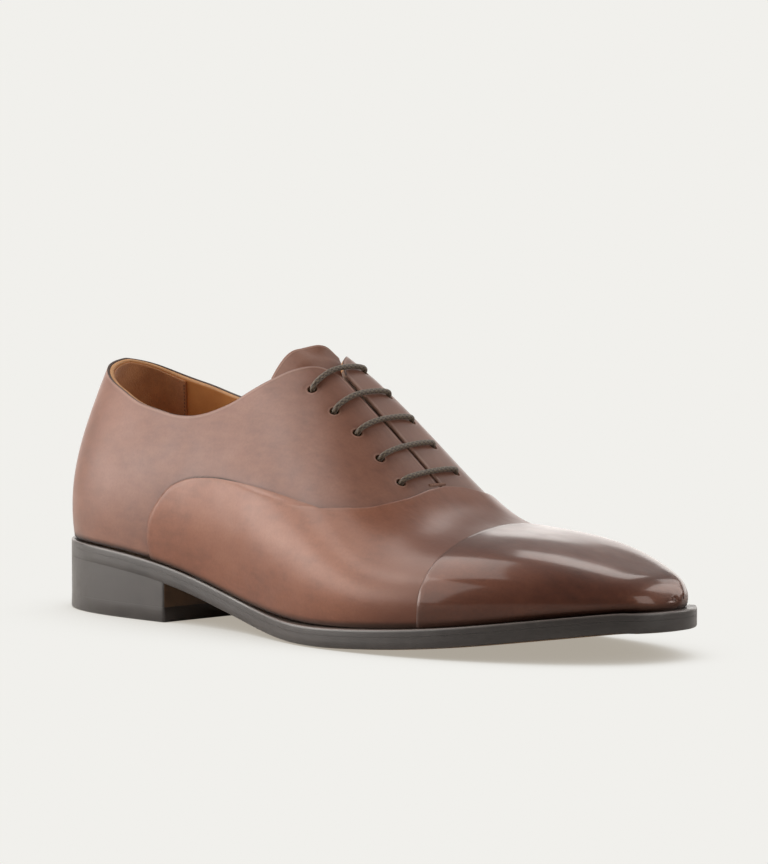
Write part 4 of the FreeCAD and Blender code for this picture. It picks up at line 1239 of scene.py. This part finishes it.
def heel_pieces():
    """Wedge, two lifts and top piece: their edges are inked and rubbed down as one."""
    outer = heel_loop()
    layers = [("heel_wedge", HEEL_TOP, None), ("heel_lift_upper", HEEL_LIFT_TOP, HEEL_TOP),
              ("heel_lift_lower", TREAD_TOP, HEEL_LIFT_TOP), ("heel_top_piece", 0.0, TREAD_TOP - 0.04)]
    for name, low, high in layers:
        tread = low == 0.0
        if name == "heel_wedge":
            shape = [(inset(outer, 1.2), over(outer, OUTSOLE_BOTTOM - 0.02)),
                     (outer, over(outer, OUTSOLE_BOTTOM + 0.9)), (outer, low)]
        elif tread:
            base = inset(outer, -0.15)
            shape = [(outer, high), (base, 0.7), (inset(base, 0.3), 0.2), (inset(base, 0.7), 0.0)]
        else:
            shape = [(outer, high), (outer, low)]
        ink = RUBBER if tread else EDGE_INK
        bands = [0] * (len(shape) - 1)
        piece = loft(name + "_edge", shape, [EDGE_INK, ink, BREAST_INK], bands + [1, 1],
                     [0.0] * len(shape), across=16)
        breast = (HEEL_BREAST_X - 0.4 - CENTRE[0]) * 0.001
        for face in piece.data.polygons:
            if face.center.x > breast and abs(face.normal.x) > 0.9 and not tread:
                face.material_index = 2
        rides(piece, "rearfoot", "top_piece_rubber" if tread else "edge_leather", name)


# ---- small work -------------------------------------------------------------------------------------
TACK_U = 0.5615
TACK_V = (0.452, 0.522)
TACK_R = 0.27


def stitch_row(name, places, ups, step, length, radius, material, body, slot):
    """Sunk stitches along a line: short threads that dip into the leather at both ends."""
    run = distances(places)
    verts, faces = [], []
    for k in range(int(run[-1] / step)):
        where = (k + 0.5) * step + np.linspace(-0.5, 0.5, 5) * length
        line, up = pick(places, run, where), pick(ups, run, where)
        line = line + up * (np.array([-0.9, 0.05, 0.25, 0.05, -0.9]) * radius)[:, None]
        side = unit(np.cross(unit(np.gradient(line, axis=0)), up))
        faces += tube_faces(5, 6, len(verts))
        for row in range(5):
            verts += ring(line[row], side[row], up[row], radius, 6)
    rides(build(name, np.array(verts), faces, [material]), body, slot)


def bar_tack():
    """Thread wrapped across the slit where the two facings meet at the throat."""
    v = np.linspace(TACK_V[0], TACK_V[1], 40)
    u = np.full(40, TACK_U)
    out = normal(u, v)
    line = at(u, v, np.full(40, 0.25))
    across = unit(np.cross(out, unit(np.gradient(line, axis=0))))
    run = distances(line)
    turns = int(run[-1] / 0.5)
    verts, faces = [], []
    for k in range(turns):
        spot = pick(line, run, (k + 0.5) * run[-1] / turns)
        up, side = out[len(out) * k // turns], across[len(out) * k // turns]
        ahead = np.cross(side, up)
        faces += tube_faces(7, 8, len(verts))
        for f in np.linspace(-1, 1, 7):
            verts += ring(spot + side * f * 0.75 - up * 0.45 * f * f, ahead, up, TACK_R, 8)
    rides(build("bar_tack", np.array(verts), faces, [TACK_THREAD]), "rearfoot", "lace_cotton")


# ---- CAD pieces that stay ---------------------------------------------------------------------------
def finish_cad():
    """The CAD's own pieces that are seen or can be: each gets its material here."""
    eyelets = ["eyelet_%s_%d" % (side, k) for side in ("lateral", "medial") for k in range(1, 6)]
    looks = [
        (BOARD, ["heel_counter", "facing_stay_lateral", "facing_stay_medial", "toe_puff"]),
        (LINING_SKIN, ["toe_lining"]), (TIP, ["lace_tip_a", "lace_tip_b"]),
        (INSOLE, ["insole", "insole_forepart", "insole_rib", "insole_rib_forepart"]),
        (SOCK, ["sock", "sock_forepart"]), (CORK, ["cork_filler", "cork_filler_forepart"]),
        (STEEL, ["shank"]), (BRASS, ["heel_nails"] + eyelets),
    ]
    for material, names in looks:
        for name in names:
            for slot in frame["nodes"][name].material_slots:
                slot.material = material


# ---- floor, light, camera ---------------------------------------------------------------------------
PAPER = (0.879, 0.871, 0.839)
FLOOR_SHADE = tuple(c * f for c, f in zip(PAPER, (0.46, 0.42, 0.37)))
FLOOR_SHADE_REACH = 0.085
WORLD_LOW = (0.16, 0.145, 0.13)
WORLD_HIGH = (0.26, 0.25, 0.24)
LIGHT_COLOR = (1.0, 0.965, 0.93)
LIT_HEIGHT = 0.06
CAMERA_AIM = (-0.01339, 0.028615, 0.07466)
CAMERA_DISTANCE = 1.4559
CAMERA_YAW = math.radians(44.98)
CAMERA_TILT = math.radians(3.418)
CAMERA_LENS = 154.7


def ground(name, half, z, material):
    mesh = bpy.data.meshes.new(name)
    mesh.from_pydata([(-half, -half, z), (half, -half, z), (half, half, z), (-half, half, z)],
                     [], [(0, 1, 2, 3)])
    mesh.materials.append(material)
    plane = bpy.data.objects.new(name, mesh)
    bpy.context.scene.collection.objects.link(plane)
    return plane


def floor():
    """A pale glowing paper that darkens only where the shoe is close to it, a painted shadow, and one
    below it that gives the shoe its light from underneath and isn't seen itself."""
    material = bpy.data.materials.new("floor_paper")
    material.use_nodes = True
    n = Nodes("floor_paper", material.node_tree)
    near = n.add("AmbientOcclusion", {"Distance": FLOOR_SHADE_REACH}, samples=12)
    color = n.ramp(near.outputs["AO"], [(0.0, FLOOR_SHADE), (0.88, PAPER)], "EASE")
    n.add("OutputMaterial", {"Surface": n.add("Emission", {"Color": color}).outputs[0]})
    paper = ground("floor", 9.0, 0.0, material)
    paper.visible_glossy = False
    paper.visible_diffuse = False
    white = Nodes("bounce_paper")
    white.set(Base_Color=(0.84, 0.82, 0.79), Roughness=0.9, Specular_IOR_Level=0.0)
    ground("bounce", 2.0, -0.0004, white.material).visible_camera = False


def world():
    """Seen directly it is the paper's colour; the shoe sees a dim room, lighter above."""
    scene = bpy.context.scene
    scene.view_settings.view_transform = "Standard"
    scene.view_settings.look = "None"
    scene.render.film_transparent = False
    scene.world = bpy.data.worlds.new("studio")
    scene.world.use_nodes = True
    n = Nodes("studio", scene.world.node_tree)
    up = n.add("SeparateXYZ", {0: n.add("TexCoord").outputs["Generated"]}).outputs["Z"]
    room = n.ramp(n.math("MULTIPLY_ADD", up, 0.5, 0.5), [(0.35, WORLD_LOW), (0.75, WORLD_HIGH)])
    lit = n.add("Background", {"Color": room}).outputs[0]
    seen = n.add("Background", {"Color": PAPER}).outputs[0]
    direct = n.add("LightPath").outputs["Is Camera Ray"]
    mixed = n.add("MixShader", {0: direct, 1: lit, 2: seen}).outputs[0]
    n.add("OutputWorld", {"Surface": mixed})


def softbox(name, direction, distance, width, height, power):
    """A soft light that looks at the shoe's middle from a direction."""
    light = bpy.data.lights.new(name, "AREA")
    light.shape = "RECTANGLE"
    light.size = width
    light.size_y = height
    light.energy = power
    light.color = LIGHT_COLOR
    obj = bpy.data.objects.new(name, light)
    middle = Vector((0.0, 0.0, LIT_HEIGHT))
    obj.location = Vector(direction).normalized() * distance + middle
    obj.rotation_euler = (middle - obj.location).to_track_quat("-Z", "Y").to_euler()
    bpy.context.scene.collection.objects.link(obj)


def lights():
    """A wall of light on the left, one overhead, the pale backdrop behind and small ones by the toe."""
    softbox("wall", (-0.60, -0.68, 0.42), 1.4, 1.9, 1.2, 12.6)
    softbox("side", (-0.79, -0.61, 0.10), 1.3, 1.0, 0.5, 3.6)
    softbox("over", (-0.50, -0.22, 0.84), 1.4, 1.4, 1.1, 10.5)
    softbox("ridge", (-0.33, 0.62, 0.71), 1.4, 0.44, 0.32, 1.0)
    softbox("backdrop", (-0.64, 0.76, 0.14), 2.0, 3.2, 0.85, 11.0)
    softbox("back", (0.10, 0.80, 0.55), 1.4, 0.5, 0.4, 1.2)
    softbox("toe", (0.47, 0.75, 0.47), 1.3, 0.5, 0.8, 3.6)
    softbox("right", (0.95, 0.25, 0.25), 1.3, 0.5, 0.6, 2.0)


def camera():
    """Where the photo was taken from."""
    level = math.cos(CAMERA_TILT)
    back = Vector((math.sin(CAMERA_YAW) * level, -math.cos(CAMERA_YAW) * level, math.sin(CAMERA_TILT)))
    data = bpy.data.cameras.new("camera")
    data.lens = CAMERA_LENS
    data.sensor_width = 36.0
    data.clip_end = 50.0
    obj = bpy.data.objects.new("camera", data)
    obj.location = Vector(CAMERA_AIM) + back * CAMERA_DISTANCE
    obj.rotation_euler = back.to_track_quat("Z", "Y").to_euler()
    bpy.context.scene.collection.objects.link(obj)
    bpy.context.scene.camera = obj


camera()
quarters()
linings()
front_of_upper()
tongue()
lace()
bar_tack()
sole_pieces()
heel_pieces()
finish_cad()
floor()
world()
lights()
